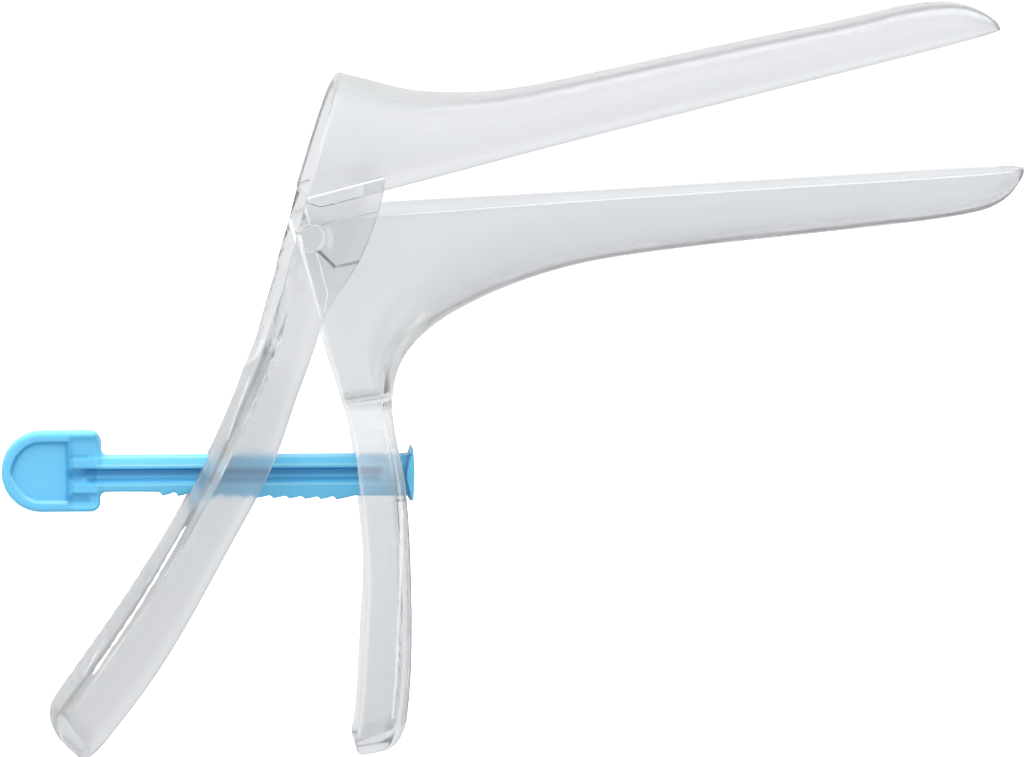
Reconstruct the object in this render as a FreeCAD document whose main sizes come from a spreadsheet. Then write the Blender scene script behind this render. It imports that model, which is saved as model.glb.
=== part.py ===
import FreeCAD, Part
import math
import os
import sys

# Bivalve vaginal speculum, single-use, three mouldings.
# Millimetres. Origin: the middle of the hinge axis. +X to the blade tips,
# +Z up, -Y the side that is seen. The pose is half open.

V = FreeCAD.Vector
doc = FreeCAD.newDocument("speculum")

# ---------------------------------------------------------------- sheet
sheet = doc.addObject("Spreadsheet::Sheet", "Sizes")
_row = [0]


def cell(alias, value):
    _row[0] += 1
    a = "A%d" % _row[0]
    b = "B%d" % _row[0]
    sheet.set(a, alias)
    sheet.set(b, "%.6g" % value)
    sheet.setAlias(b, alias)
    return value


WALL = cell("wall_valve", 1.7)
WALL_LEVER = cell("wall_lever", 1.8)
EAR_IN = cell("ear_inner_half", 22.0)
EAR_OUT = cell("ear_outer_half", 24.0)
EAR_WALL = cell("ear_thickness", 2.0)
CHEEK = cell("cheek_half", 21.7)
TRUNNION = cell("trunnion_radius", 2.12)
TRUNNION_BORE = cell("trunnion_bore_radius", 2.20)
TRUNNION_END = cell("trunnion_end_half", 23.9)
HANDLE = cell("handle_half", 9.5)
LEVER = cell("lever_half", 12.0)
STRAP_Z = cell("strap_centre_z", -42.6)
STRAP_HALF = cell("strap_half_width", 2.8)
HEAD_HALF = cell("head_half_width", 3.1)
SLOT_HALF = cell("slot_half_width", 3.3)
SLOT_TOP = cell("handle_slot_top", -37.85)
SLOT_LOW = cell("handle_slot_low", -47.35)
LSLOT_TOP = cell("lever_slot_top", -38.15)
LSLOT_LOW = cell("lever_slot_low", -48.15)
FLANGE_HALF = cell("flange_half_width", 4.2)
TOOTH_PITCH = cell("tooth_pitch", 2.771)
TOOTH_COUNT = cell("tooth_count", 12)
RIB_PITCH = cell("rib_pitch", 2.3)
RIB_COUNT = cell("rib_count", 8)
RIB_DEEP = cell("rib_depth", 0.4)
RECESS = cell("ear_recess_depth", 0.6)
HEAD_RECESS = cell("head_recess_depth", 0.8)
GROOVE = cell("strap_groove_depth", 1.1)
STRAP_TOP = cell("strap_top", -39.3)
HEAD_LAND = cell("head_land_depth", 0.4)
UPPER_TILT = cell("upper_rim_tilt", 13.9)
UPPER_RIM = cell("upper_rim_height", 4.63)
FLOOR_HALF = cell("floor_half_width", 9.0)


# -------------------------------------------------------------- helpers
def make_body(name):
    body = doc.addObject("PartDesign::Body", name)
    body.Label = name
    return body


def plane(body, role):
    for f in body.Origin.OriginFeatures:
        if f.Role == role:
            return f
    raise RuntimeError(role)


def sketch(body, name, role="XZ_Plane", off=None):
    sk = body.newObject("Sketcher::SketchObject", name)
    sk.AttachmentSupport = [(plane(body, role), "")]
    sk.MapMode = "FlatFace"
    if off is not None:
        sk.AttachmentOffset = off
    return sk


def loop(sk, items):
    """A closed outline. An item is a list of points: two make a line,
    three with "arc" first make an arc, more with "spline" first a curve."""
    ids = []
    for it in items:
        if it[0] == "arc":
            g = Part.Arc(*[V(a, b, 0) for a, b in it[1:]])
        elif it[0] == "spline":
            g = Part.BSplineCurve()
            g.interpolate([V(a, b, 0) for a, b in it[1:]])
        else:
            g = Part.LineSegment(V(it[0][0], it[0][1], 0), V(it[1][0], it[1][1], 0))
        ids.append(sk.addGeometry(g, False))
    return ids


def poly(sk, pts):
    """A closed polygon held together with coincidences."""
    import Sketcher

    n = len(pts)
    ids = loop(sk, [[pts[i], pts[(i + 1) % n]] for i in range(n)])
    for i in range(n):
        sk.addConstraint(Sketcher.Constraint("Coincident", ids[i], 2, ids[(i + 1) % n], 1))
    return ids


def rect(sk, x0, y0, x1, y1, binds):
    """A rectangle with four sides bound to the sheet.
    binds: left, right, low, top, each an expression or None."""
    import Sketcher

    ids = poly(sk, [(x0, y0), (x1, y0), (x1, y1), (x0, y1)])
    C = Sketcher.Constraint
    sk.addConstraint(C("Horizontal", ids[0]))
    sk.addConstraint(C("Vertical", ids[1]))
    sk.addConstraint(C("Horizontal", ids[2]))
    sk.addConstraint(C("Vertical", ids[3]))
    spec = [
        ("DistanceX", ids[0], 1, x0, binds[0]),
        ("DistanceX", ids[0], 2, x1, binds[1]),
        ("DistanceY", ids[0], 1, y0, binds[2]),
        ("DistanceY", ids[2], 1, y1, binds[3]),
    ]
    for kind, g, p, val, ex in spec:
        k = sk.addConstraint(C(kind, -1, 1, g, p, val))
        if ex:
            sk.setExpression("Constraints[%d]" % k, ex)
    return ids


def circle(sk, cx, cy, r, bind=None):
    import Sketcher

    g = sk.addGeometry(Part.Circle(V(cx, cy, 0), V(0, 0, 1), r), False)
    C = Sketcher.Constraint
    if cx == 0 and cy == 0:
        sk.addConstraint(C("Coincident", g, 3, -1, 1))
    k = sk.addConstraint(C("Radius", g, r))
    if bind:
        sk.setExpression("Constraints[%d]" % k, bind)
    return g


def feature(body, kind, name, sk, length=None, bind=None, through=False, both=False, rev=False):
    f = body.newObject("PartDesign::" + kind, name)
    f.Profile = sk
    if through:
        f.Type = 1
    else:
        f.Type = 0
        f.Length = length
        if bind:
            f.setExpression("Length", bind)
    if both:
        f.Midplane = True
    if rev:
        f.Reversed = True
    sk.Visibility = False
    return f


def trough_profile(wb, wt, high, r, rc, wall=0.0, extra=0.0, flip=False):
    """U section: crown of radius rc at the origin, corners of radius r, sides
    that lean from half width wb at the crown's level to wt at `high`.
    wall: offset to the inside. flip: crown up, opening down."""
    beta = math.atan2(wt - wb, high)
    d = (-math.sin(beta), -math.cos(beta))
    nr = (-math.cos(beta), math.sin(beta))
    q = (wt + r * nr[0], high + r * nr[1] - rc)
    b = q[0] * d[0] + q[1] * d[1]
    c = q[0] ** 2 + q[1] ** 2 - (rc - r) ** 2
    s = -b + math.sqrt(max(b * b - c, 0.0))
    cx = q[0] + s * d[0]
    cy = q[1] + s * d[1] + rc
    ri = r - wall
    ro = rc - wall
    side_low = (cx - nr[0] * ri, cy - nr[1] * ri)
    top = high + extra
    kk = (top - side_low[1]) / math.cos(beta)
    side_top = (side_low[0] - d[0] * kk, side_low[1] - d[1] * kk)
    ln = math.hypot(cx, cy - rc)
    t = (cx / ln * ro, rc + (cy - rc) / ln * ro)
    crown = (0.0, rc - ro)
    am = (t[0] - cx, t[1] - cy)
    bm = (side_low[0] - cx, side_low[1] - cy)
    mid = (am[0] + bm[0], am[1] + bm[1])
    ml = math.hypot(*mid)
    m = (cx + mid[0] / ml * ri, cy + mid[1] / ml * ri)
    f = -1.0 if flip else 1.0

    def P(p, sx=1.0):
        return (p[0] * sx, p[1] * f)

    return [
        [P(side_top, -1), P(side_low, -1)],
        ["arc", P(side_low, -1), P(m, -1), P(t, -1)],
        ["arc", P(t, -1), P(crown), P(t)],
        ["arc", P(t), P(m), P(side_low)],
        [P(side_low), P(side_top)],
        [P(side_top), P(side_top, -1)],
    ]


def stations(body, tag, rows, wall=0.0, extra=0.0, flip=False):
    """One sketch per row (x, z, tilt, wb, wt, high, r, rc), its plane set by
    cells of the sheet."""
    out = []
    for i, (x, z, tilt, wb, wt, high, r, rc) in enumerate(rows):
        name = "%s_%02d" % (tag, i + 1)
        cell(name + "_x", x)
        cell(name + "_z", z)
        sk = sketch(
            body,
            name,
            "YZ_Plane",
            FreeCAD.Placement(V(0, z, x), FreeCAD.Rotation(V(1, 0, 0), -tilt)),
        )
        sk.setExpression(".AttachmentOffset.Base.y", "Sizes.%s_z" % name)
        sk.setExpression(".AttachmentOffset.Base.z", "Sizes.%s_x" % name)
        loop(sk, trough_profile(wb, wt, high, r, rc, wall, extra, flip))
        sk.Visibility = False
        out.append(sk)
    return out


def loft(body, kind, name, sks):
    f = body.newObject("PartDesign::" + kind, name)
    f.Profile = sks[0]
    f.Sections = sks[1:]
    f.Ruled = False
    f.Closed = False
    return f


# ======================================================= 1. lower valve
low = make_body("lower_valve")

# x, z, tilt, half width low, half width high, height, corner, crown
LOW = [
    (126.3, 9.4, 0, 3.4, 3.4, 6, 1.2, 30),
    (125.4, 7.9, 0, 6.2, 6.2, 7, 2.4, 34),
    (123.6, 5.7, 0, 8.9, 8.9, 9, 4.2, 38),
    (120.6, 3.75, 0, 11.0, 11.0, 11, 6.2, 40),
    (116.5, 2.55, 0, 12.5, 12.5, 12, 7.6, 42),
    (111.0, 1.6, 0, 13.4, 13.4, 13, 8.4, 42),
    (102.0, 0.55, 0, 13.9, 13.9, 13, 8.8, 42),
    (88.0, -0.95, 0, 14.2, 14.2, 14, 9.0, 42),
    (72.0, -2.6, 0, 14.6, 14.6, 16, 9.4, 42),
    (58.0, -4.3, 0, 15.2, 15.2, 17, 10.0, 42),
    (48.0, -6.0, 2, 16.0, 16.0, 19, 10.6, 42),
    (39.0, -8.5, 6, 17.2, 17.2, 21, 11.4, 42),
    (32.0, -11.2, 12, 18.4, 18.6, 23, 12.0, 42),
    (26.0, -14.2, 20, 19.2, 20.0, 26, 12.4, 42),
    (21.3, -17.4, 33, 19.4, 21.3, 32, 12.0, 38),
    (18.2, -20.6, 47, 18.0, 22.6, 36, 10.2, 30),
    (16.2, -24.0, 62, 13.6, 19.6, 27, 6.4, 24),
    (15.15, -28.0, 77, 10.6, 13.0, 20, 3.2, 45),
    (15.0, -32.0, 86, 9.6, 9.9, 15, 2.0, 90),
    (15.6, -36.5, 90, 9.5, 9.5, 14, 1.6, 200),
    (16.7, -42.5, 90, 9.5, 9.5, 13, 1.5, 300),
    (17.5, -50.0, 90, 9.5, 9.5, 13, 1.5, 300),
    (18.0, -62.0, 90, 9.5, 9.5, 13, 1.5, 300),
    (17.9, -76.0, 90, 9.5, 9.5, 14, 1.5, 300),
    (17.1, -86.0, 90, 9.4, 9.4, 14, 1.5, 300),
    (16.2, -93.0, 90, 9.2, 9.2, 14, 1.5, 300),
]
loft(low, "AdditiveLoft", "low_outer", stations(low, "lo", LOW))


def inner_rows(rows, first, last, wall_in=0.0):
    """Rows for the hollow: ends replaced by rows that stop short."""
    return [first] + rows + [last]


LOW_IN = [
    (124.3, 7.9, 0, 5.2 + 1.7, 5.2 + 1.7, 9, 3.4, 34),
    (122.9, 5.8, 0, 8.9, 8.9, 10, 4.4, 38),
] + LOW[3:-2] + [
    (17.45, -82.0, 90, 9.4, 9.4, 14, 2.0, 300),
    (17.05, -87.2, 90, 9.35, 9.35, 14, 2.0, 300),
]
LOW_IN = [row[:6] + (max(row[6], 2.0),) + row[7:] for row in LOW_IN]
loft(low, "SubtractiveLoft", "low_inner", stations(low, "li", LOW_IN, wall=WALL, extra=1.0))

# outline in side view: everything above the rim and behind the mouth goes
sk = sketch(low, "low_trim")
RIM0 = (1.2, 3.17)
RIM1 = (130.0, 3.1 + 0.06 * 130.0)
MOUTH = [
    (-2.35, 0.7),
    (-1.95, -1.2),
    (-0.3, -7.4),
    (1.55, -14.1),
    (2.87, -18.9),
    (4.42, -24.3),
    (5.85, -29.0),
    (7.2, -33.5),
    (8.2, -38.5),
]
REAR = [
    (8.2, -38.5),
    (9.0, -46.0),
    (9.75, -53.5),
    (10.15, -61.0),
    (9.75, -68.0),
    (9.25, -77.0),
    (8.75, -85.0),
    (8.1, -88.8),
]
loop(
    sk,
    [
        [RIM0, RIM1],
        [RIM1, (130.0, 60.0)],
        [(130.0, 60.0), (-60.0, 60.0)],
        [(-60.0, 60.0), (-60.0, -105.0)],
        [(-60.0, -105.0), (30.0, -105.0)],
        [(30.0, -105.0), (30.0, -89.0)],
        [(30.0, -89.0), (16.62, -87.6)],
        ["arc", (16.62, -87.6), (15.9, -89.6), (13.9, -90.75)],
        [(13.9, -90.75), (9.6, -91.65)],
        ["arc", (9.6, -91.65), (8.15, -91.1), (7.95, -89.6)],
        [(7.95, -89.6), REAR[-1]],
        ["spline"] + REAR[::-1],
        ["spline"] + MOUTH[::-1],
        ["arc", MOUTH[0], (-1.35, 2.6), RIM0],
    ],
)
feature(low, "Pocket", "low_trimmed", sk, through=True, both=True)

# floor between the funnel and the handle
sk = sketch(low, "low_floor_sk")
poly(sk, [(6.1, -28.9), (14.1, -27.55), (13.9, -29.05), (6.6, -30.3)])
feature(low, "Pad", "low_floor", sk, 2 * FLOOR_HALF, "Sizes.floor_half_width * 2", both=True)

# trunnions on the cheeks
for side, tag in ((-1, "near"), (1, "far")):
    sk = sketch(
        low,
        "trunnion_%s_sk" % tag,
        "XZ_Plane",
        FreeCAD.Placement(V(0, 0, -side * 20.9), FreeCAD.Rotation()),
    )
    circle(sk, 0, 0, TRUNNION, "Sizes.trunnion_radius")
    feature(
        low,
        "Pad",
        "trunnion_%s" % tag,
        sk,
        TRUNNION_END - 20.9,
        "Sizes.trunnion_end_half - 20.9",
        rev=side > 0,
    )

# slot for the ratchet strap in the front wall of the handle
sk = sketch(low, "handle_slot_sk", "YZ_Plane", FreeCAD.Placement(V(0, 0, 10.0), FreeCAD.Rotation()))
rect(
    sk,
    -SLOT_HALF,
    SLOT_LOW,
    SLOT_HALF,
    SLOT_TOP,
    ("-Sizes.slot_half_width", "Sizes.slot_half_width", "Sizes.handle_slot_low", "Sizes.handle_slot_top"),
)
feature(low, "Pocket", "handle_slot", sk, 15.0, rev=True)

# grip grooves across the front of the handle
sk = sketch(low, "handle_rib_sk")
poly(sk, [(18.6, -64.0), (17.95 - RIB_DEEP, -64.35), (17.95 - RIB_DEEP, -65.05), (18.6, -65.4)])
feature(low, "Pocket", "handle_rib", sk, 13.0, both=True)
pat = low.newObject("PartDesign::LinearPattern", "handle_ribs")
pat.Originals = [doc.getObject("handle_rib")]
pat.Direction = (plane(low, "Z_Axis"), [""])
pat.Reversed = True
pat.Length = RIB_PITCH * (RIB_COUNT - 1)
pat.Occurrences = int(RIB_COUNT)
pat.setExpression("Length", "Sizes.rib_pitch * (Sizes.rib_count - 1)")
low.Tip = pat

# ======================================================= 2. upper valve
blade = make_body("upper_blade")
TA = math.radians(UPPER_TILT)


def up(u, v):
    """Rim coordinates to X, Z."""
    return (u * math.cos(TA) - v * math.sin(TA), u * math.sin(TA) + v * math.cos(TA))


# u, v of the crown, half width, corner, crown
UP = [
    (126.45, 5.9, 3.2, 1.2, 30),
    (125.75, 7.2, 5.9, 2.4, 34),
    (124.2, 8.75, 8.6, 4.2, 38),
    (121.2, 10.75, 10.9, 6.4, 40),
    (117.3, 12.1, 12.4, 7.6, 42),
    (112.0, 12.75, 13.3, 8.2, 42),
    (103.0, 12.98, 13.9, 8.6, 42),
    (90.0, 13.4, 14.2, 8.8, 42),
    (74.0, 14.02, 14.6, 9.2, 42),
    (58.0, 14.57, 15.2, 9.8, 42),
    (48.0, 14.97, 15.9, 10.4, 42),
    (40.0, 15.55, 17.0, 11.0, 42),
    (33.0, 16.75, 18.4, 11.8, 42),
    (27.5, 18.2, 19.7, 12.6, 42),
    (22.5, 20.0, 20.9, 13.6, 40),
    (17.5, 22.65, 22.0, 14.8, 38),
    (12.0, 25.5, 22.65, 15.6, 36),
    (6.0, 28.3, 22.75, 16.0, 36),
    (0.5, 30.6, 22.75, 16.2, 36),
]


def up_rows(rows):
    out = []
    for u, v, w, r, rc in rows:
        x, z = up(u, v)
        out.append((x, z, UPPER_TILT, w, w, v - UPPER_RIM + 4.0, r, rc))
    return out


loft(blade, "AdditiveLoft", "up_outer", stations(blade, "uo", up_rows(UP), flip=True))
UP_IN = [
    (124.7, 7.0, 6.6, 3.2, 34),
    (123.2, 8.9, 8.9, 4.4, 38),
] + UP[3:-1] + [(-1.5, 31.3, 22.75, 16.2, 36)]
rows_in = up_rows(UP_IN)
loft(blade, "SubtractiveLoft", "up_inner", stations(blade, "ui", rows_in, wall=WALL, extra=1.0, flip=True))

sk = sketch(blade, "up_trim")
R0 = up(3.2, UPPER_RIM)
R1 = up(132.0, UPPER_RIM)
loop(
    sk,
    [
        [R0, R1],
        [R1, (150.0, -30.0)],
        [(150.0, -30.0), (-60.0, -30.0)],
        [(-60.0, -30.0), (-60.0, 60.0)],
        [(-60.0, 60.0), (14.83, 60.0)],
        [(14.83, 60.0), (-0.66, 8.3)],
        ["arc", (-0.66, 8.3), (-0.15, 6.2), R0],
    ],
)
feature(blade, "Pocket", "up_trimmed", sk, through=True, both=True)

# lever with its two arms and the ears
lever = make_body("lever")
LEV = [
    (-3.9, -2.8, -17.7, 23.9, 23.9, 18, 1.7, 400),
    (-5.3, -7.1, -17.6, 23.85, 23.9, 17, 1.8, 400),
    (-6.5, -11.0, -17.8, 23.4, 23.7, 16, 2.2, 300),
    (-7.85, -15.0, -18.4, 22.0, 22.6, 16, 2.6, 200),
    (-9.5, -20.0, -19.4, 18.7, 19.2, 16, 3.0, 120),
    (-10.98, -24.0, -20.5, 15.6, 15.8, 16, 2.6, 80),
    (-12.53, -28.0, -21.7, 13.4, 13.5, 16, 2.0, 60),
    (-14.65, -33.0, -23.4, 12.3, 12.3, 16, 1.6, 50),
    (-17.4, -39.0, -25.6, 12.0, 12.0, 16, 1.5, 45),
    (-20.95, -46.0, -28.2, 12.0, 12.0, 16, 1.5, 45),
    (-25.5, -54.0, -31.0, 12.0, 12.0, 16, 1.5, 45),
    (-30.55, -62.0, -33.3, 12.0, 12.0, 16, 1.5, 45),
    (-36.0, -70.0, -35.1, 12.0, 12.0, 16, 1.5, 45),
    (-41.0, -77.0, -36.3, 12.0, 12.0, 17, 1.5, 45),
    (-44.9, -82.3, -36.9, 11.9, 11.9, 18, 1.5, 45),
    (-52.0, -91.7, -37.2, 11.7, 11.7, 20, 1.5, 45),
]


# a section's inward direction is (-sin tilt, cos tilt): forward and down
LEV_ROWS = [(x, z, -90.0 + t, wb, wt, high, r, rc) for x, z, t, wb, wt, high, r, rc in LEV]
loft(lever, "AdditiveLoft", "lever_outer", stations(lever, "vo", LEV_ROWS))
LEV_IN = [(-3.3, -1.0, -107.7, 23.9, 23.9, 19, 2.3, 400)] + LEV_ROWS[1:-3] + [
    (-40.2, -75.9, -126.2, 12.0, 12.0, 17, 2.3, 45),
    (-43.9, -80.95, -126.8, 11.9, 11.9, 18, 2.3, 45),
]
LEV_IN = [(x, z, t, wb, wt, high, max(r, 2.3), rc) for x, z, t, wb, wt, high, r, rc in LEV_IN]
loft(lever, "SubtractiveLoft", "lever_inner", stations(lever, "vi", LEV_IN, wall=WALL_LEVER, extra=1.5))

# side view: front edge of the ears, the arms and the lever, and its round end
sk = sketch(lever, "lever_trim")
FRONT = [
    (12.75, 10.72),
    (12.5, 7.6),
    (11.6, 4.4),
    (10.2, 0.4),
    (8.6, -3.4),
    (5.9, -7.8),
    (3.4, -11.4),
    (1.9, -14.9),
    (0.65, -19.1),
    (-0.7, -23.4),
    (-2.2, -28.0),
    (-4.9, -36.4),
    (-8.6, -44.8),
    (-13.1, -53.1),
    (-17.7, -61.5),
    (-22.4, -69.8),
    (-27.8, -78.2),
    (-34.1, -86.5),
    (-37.6, -90.3),
]
loop(
    sk,
    [
        [(-1.3, 7.05), FRONT[0]],
        ["spline"] + FRONT,
        ["arc", FRONT[-1], (-38.6, -91.75), (-40.4, -91.5)],
        ["arc", (-40.4, -91.5), (-44.1, -88.3), (-45.75, -84.3)],
        [(-45.75, -84.3), (-80.0, -84.3)],
        [(-80.0, -84.3), (-80.0, -130.0)],
        [(-80.0, -130.0), (80.0, -130.0)],
        [(80.0, -130.0), (80.0, 40.0)],
        [(80.0, 40.0), (-40.0, 40.0)],
        [(-40.0, 40.0), (-40.0, 7.05)],
        [(-40.0, 7.05), (-1.3, 7.05)],
    ],
)
feature(lever, "Pocket", "lever_trimmed", sk, through=True, both=True)

# rear view: the opening between the arms
sk = sketch(lever, "mouth_window_sk", "YZ_Plane", FreeCAD.Placement(V(0, 0, -30.0), FreeCAD.Rotation()))
ARCH = [(22.2, -8.0), (21.2, -11.5), (18.6, -16.0), (14.6, -20.2), (8.5, -22.9), (0.0, -23.8)]
loop(
    sk,
    [
        [(-22.2, -8.0), (-22.2, 20.0)],
        [(-22.2, 20.0), (22.2, 20.0)],
        [(22.2, 20.0), (22.2, -8.0)],
        ["spline"] + ARCH + [(-a, b) for a, b in ARCH[-2::-1]],
    ],
)
feature(lever, "Pocket", "mouth_window", sk, 50.0, rev=True)

# the two flat ears
EAR = [
    [(-1.3, 7.05), (12.75, 10.72)],
    ["spline", (12.75, 10.72), (12.5, 7.6), (11.6, 4.4), (10.2, 0.4), (8.6, -3.4), (5.9, -7.8), (4.2, -10.2)],
    [(4.2, -10.2), (-6.05, -9.6)],
    ["spline", (-6.05, -9.6), (-4.6, -5.0), (-3.1, 0.0), (-1.95, 4.0), (-1.3, 7.05)],
]
for side, tag in ((-1, "near"), (1, "far")):
    sk = sketch(
        lever,
        "ear_%s_sk" % tag,
        "XZ_Plane",
        FreeCAD.Placement(V(0, 0, -side * EAR_IN), FreeCAD.Rotation()),
    )
    sk.setExpression(".AttachmentOffset.Base.z", "Sizes.ear_inner_half * %d" % -side)
    loop(sk, EAR)
    feature(lever, "Pad", "ear_%s" % tag, sk, EAR_WALL, "Sizes.ear_thickness", rev=side > 0)

# slot for the strap through the lever
sk = sketch(lever, "lever_slot_sk", "YZ_Plane", FreeCAD.Placement(V(0, 0, -30.0), FreeCAD.Rotation()))
rect(
    sk,
    -SLOT_HALF,
    LSLOT_LOW,
    SLOT_HALF,
    LSLOT_TOP,
    ("-Sizes.slot_half_width", "Sizes.slot_half_width", "Sizes.lever_slot_low", "Sizes.lever_slot_top"),
)
feature(lever, "Pocket", "lever_slot", sk, 22.0, rev=True)

# hinge bores and the lead-in that the trunnions are pushed along
sk = sketch(lever, "bore_sk")
circle(sk, 0, 0, TRUNNION_BORE, "Sizes.trunnion_bore_radius")
feature(lever, "Pocket", "bore", sk, through=True, both=True)
for side, tag in ((-1, "near"), (1, "far")):
    sk = sketch(
        lever,
        "lead_in_%s_sk" % tag,
        "XZ_Plane",
        FreeCAD.Placement(V(0, 0, -side * EAR_IN), FreeCAD.Rotation()),
    )
    poly(sk, [(0.6, 1.8), (16.0, 5.65), (16.0, -1.9), (4.15, -4.68), (1.6, -2.2), (0.6, -1.8)])
    f = feature(lever, "Pocket", "lead_in_%s" % tag, sk, RECESS, "Sizes.ear_recess_depth", rev=side < 0)

# grip grooves across the back of the lever
sk = sketch(lever, "lever_rib_sk")
ribs = []
for i in range(int(RIB_COUNT)):
    k = i / (RIB_COUNT - 1.0)
    x0, z0 = -28.9 + k * (-41.0 + 28.9), -59.4 + k * (-77.0 + 59.4)
    sag = 0.42 * (1 - (2 * k - 1) ** 2)
    x0 -= -0.6 * sag
    a = math.radians(32.6 + k * (36.3 - 32.6))
    dx, dz = -math.sin(a), -math.cos(a)
    nx, nz = math.cos(a), -math.sin(a)
    pts = []
    for s, n in ((-0.75, -1.2), (-0.35, RIB_DEEP), (0.35, RIB_DEEP), (0.75, -1.2)):
        pts.append((x0 + s * dx + n * nx, z0 + s * dz + n * nz))
    poly(sk, pts)
feature(lever, "Pocket", "lever_ribs", sk, 17.0, both=True)

upper = doc.addObject("Part::MultiFuse", "upper_valve")
upper.Label = "upper_valve"
upper.Shapes = [blade, lever]

# ======================================================= 3. ratchet bar
bar = make_body("ratchet_bar")
TIP0 = -25.32
VALLEY = [(-60.0, -45.55), (-27.0, -45.6), (-6.0, -46.45), (3.0, -46.72), (8.4, -46.5), (60.0, -46.5)]
TIP = [(-60.0, -46.3), (-25.3, -46.3), (-6.0, -46.88), (5.2, -47.22), (60.0, -47.22)]


def read(table, x):
    for (x0, v0), (x1, v1) in zip(table[:-1], table[1:]):
        if x0 <= x <= x1:
            return v0 + (v1 - v0) * (x - x0) / (x1 - x0)
    return table[-1][1]


# strap with its saw teeth: steep to the head, sloped to the handle
saw = [(-42.0, STRAP_TOP), (-42.0, -45.55), (-27.0, -45.6)]
for i in range(int(TOOTH_COUNT)):
    x = TIP0 + TOOTH_PITCH * i
    saw += [(x - 0.55, read(VALLEY, x - 0.55)), (x - 0.14, read(TIP, x)), (x + 0.14, read(TIP, x))]
saw += [(8.4, -46.5), (17.6, -46.5), (17.6, STRAP_TOP)]
sk = sketch(bar, "strap_sk")
poly(sk, saw)
feature(bar, "Pad", "strap", sk, 2 * STRAP_HALF, "Sizes.strap_half_width * 2", both=True)

# the ribs' sloped outer faces
sk = sketch(bar, "strap_bevel_sk", "YZ_Plane", FreeCAD.Placement(V(0, 0, 17.1), FreeCAD.Rotation()))
for side in (-1, 1):
    poly(sk, [(side * a, b) for a, b in ((1.95, -39.0), (2.81, -41.1), (3.6, -41.1), (3.6, -39.0))])
    poly(sk, [(side * a, b) for a, b in ((2.81, -44.3), (2.45, -48.0), (3.6, -48.0), (3.6, -44.3))])
feature(bar, "Pocket", "strap_bevel", sk, 53.2)

sk = sketch(bar, "head_sk")
loop(
    sk,
    [
        [(-46.3, -35.0), (-37.8, -35.0)],
        ["arc", (-37.8, -35.0), (-36.53, -35.53), (-36.0, -36.8)],
        [(-36.0, -36.8), (-36.2, -47.5)],
        ["arc", (-36.2, -47.5), (-36.64, -48.56), (-37.7, -49.0)],
        [(-37.7, -49.0), (-46.3, -49.0)],
        ["arc", (-46.3, -49.0), (-53.45, -42.0), (-46.3, -35.0)],
    ],
)
feature(bar, "Pad", "head", sk, 2 * HEAD_HALF, "Sizes.head_half_width * 2", both=True)

# flange that stops the strap in the handle, its inner face bevelled so that it can rock
sk = sketch(bar, "flange_sk")
poly(
    sk,
    [
        (17.15, -41.9),
        (18.05, -38.0),
        (18.55, -38.0),
        (18.75, -42.4),
        (18.62, -47.4),
        (18.08, -47.4),
        (17.15, -43.6),
    ],
)
feature(bar, "Pad", "flange", sk, 2 * FLANGE_HALF, "Sizes.flange_half_width * 2", both=True)

# recess and lower land of the head, long groove of the strap, on both sides
for side, tag in ((-1, "near"), (1, "far")):
    place = FreeCAD.Placement(V(0, 0, -side * HEAD_HALF), FreeCAD.Rotation())
    sk = sketch(bar, "head_recess_%s_sk" % tag, "XZ_Plane", place)
    loop(
        sk,
        [
            [(-46.35, -36.75), (-42.0, -36.75)],
            [(-42.0, -36.75), (-42.0, -47.25)],
            [(-42.0, -47.25), (-46.35, -47.25)],
            ["arc", (-46.35, -47.25), (-51.75, -42.0), (-46.35, -36.75)],
        ],
    )
    feature(
        bar,
        "Pocket",
        "head_recess_%s" % tag,
        sk,
        HEAD_RECESS,
        "Sizes.head_recess_depth",
        rev=side > 0,
    )
    sk = sketch(bar, "head_land_%s_sk" % tag, "XZ_Plane", place)
    poly(sk, [(-41.1, -34.0), (-35.0, -34.0), (-35.0, -39.5), (-41.1, -39.5)])
    poly(sk, [(-41.1, -45.6), (-35.0, -45.6), (-35.0, -50.0), (-41.1, -50.0)])
    poly(sk, [(-41.1, -41.6), (-35.0, -41.6), (-35.0, -43.6), (-41.1, -43.6)])
    feature(bar, "Pocket", "head_land_%s" % tag, sk, HEAD_LAND, "Sizes.head_land_depth", rev=side > 0)
    sk = sketch(
        bar,
        "groove_%s_sk" % tag,
        "XZ_Plane",
        FreeCAD.Placement(V(0, 0, -side * (STRAP_HALF + 1.0)), FreeCAD.Rotation()),
    )
    loop(
        sk,
        [
            ["arc", (-38.0, -41.65), (-38.95, -42.6), (-38.0, -43.55)],
            [(-38.0, -43.55), (12.0, -43.55)],
            ["arc", (12.0, -43.55), (12.95, -42.6), (12.0, -41.65)],
            [(12.0, -41.65), (-38.0, -41.65)],
        ],
    )
    feature(
        bar,
        "Pocket",
        "groove_%s" % tag,
        sk,
        GROOVE + 1.0,
        "Sizes.strap_groove_depth + 1",
        rev=side > 0,
    )

# ------------------------------------------------------------- write out
doc.recompute()
bad = [o.Name for o in doc.Objects if "Invalid" in o.State or "Error" in o.State]
print("bad", bad)
os.makedirs("parts", exist_ok=True)
for obj in (low, upper, bar):
    s = obj.Shape
    if s.isNull():
        print(obj.Label, "NULL")
        continue
    b = s.BoundBox
    print(
        obj.Label,
        "valid",
        s.isValid(),
        "solids",
        len(s.Solids),
        "faces",
        len(s.Faces),
        "vol %.1f" % s.Volume,
        "x %.2f %.2f y %.2f %.2f z %.2f %.2f" % (b.XMin, b.XMax, b.YMin, b.YMax, b.ZMin, b.ZMax),
    )
    if bad or not s.isValid() or len(s.Solids) != 1:
        print("PROBLEM", obj.Label)
        continue
    s.exportStep("parts/%s.step" % obj.Label)
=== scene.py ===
import bpy
import bmesh
import math
import numpy as np
from mathutils import Matrix, Vector
from mathutils.geometry import delaunay_2d_cdt


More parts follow.
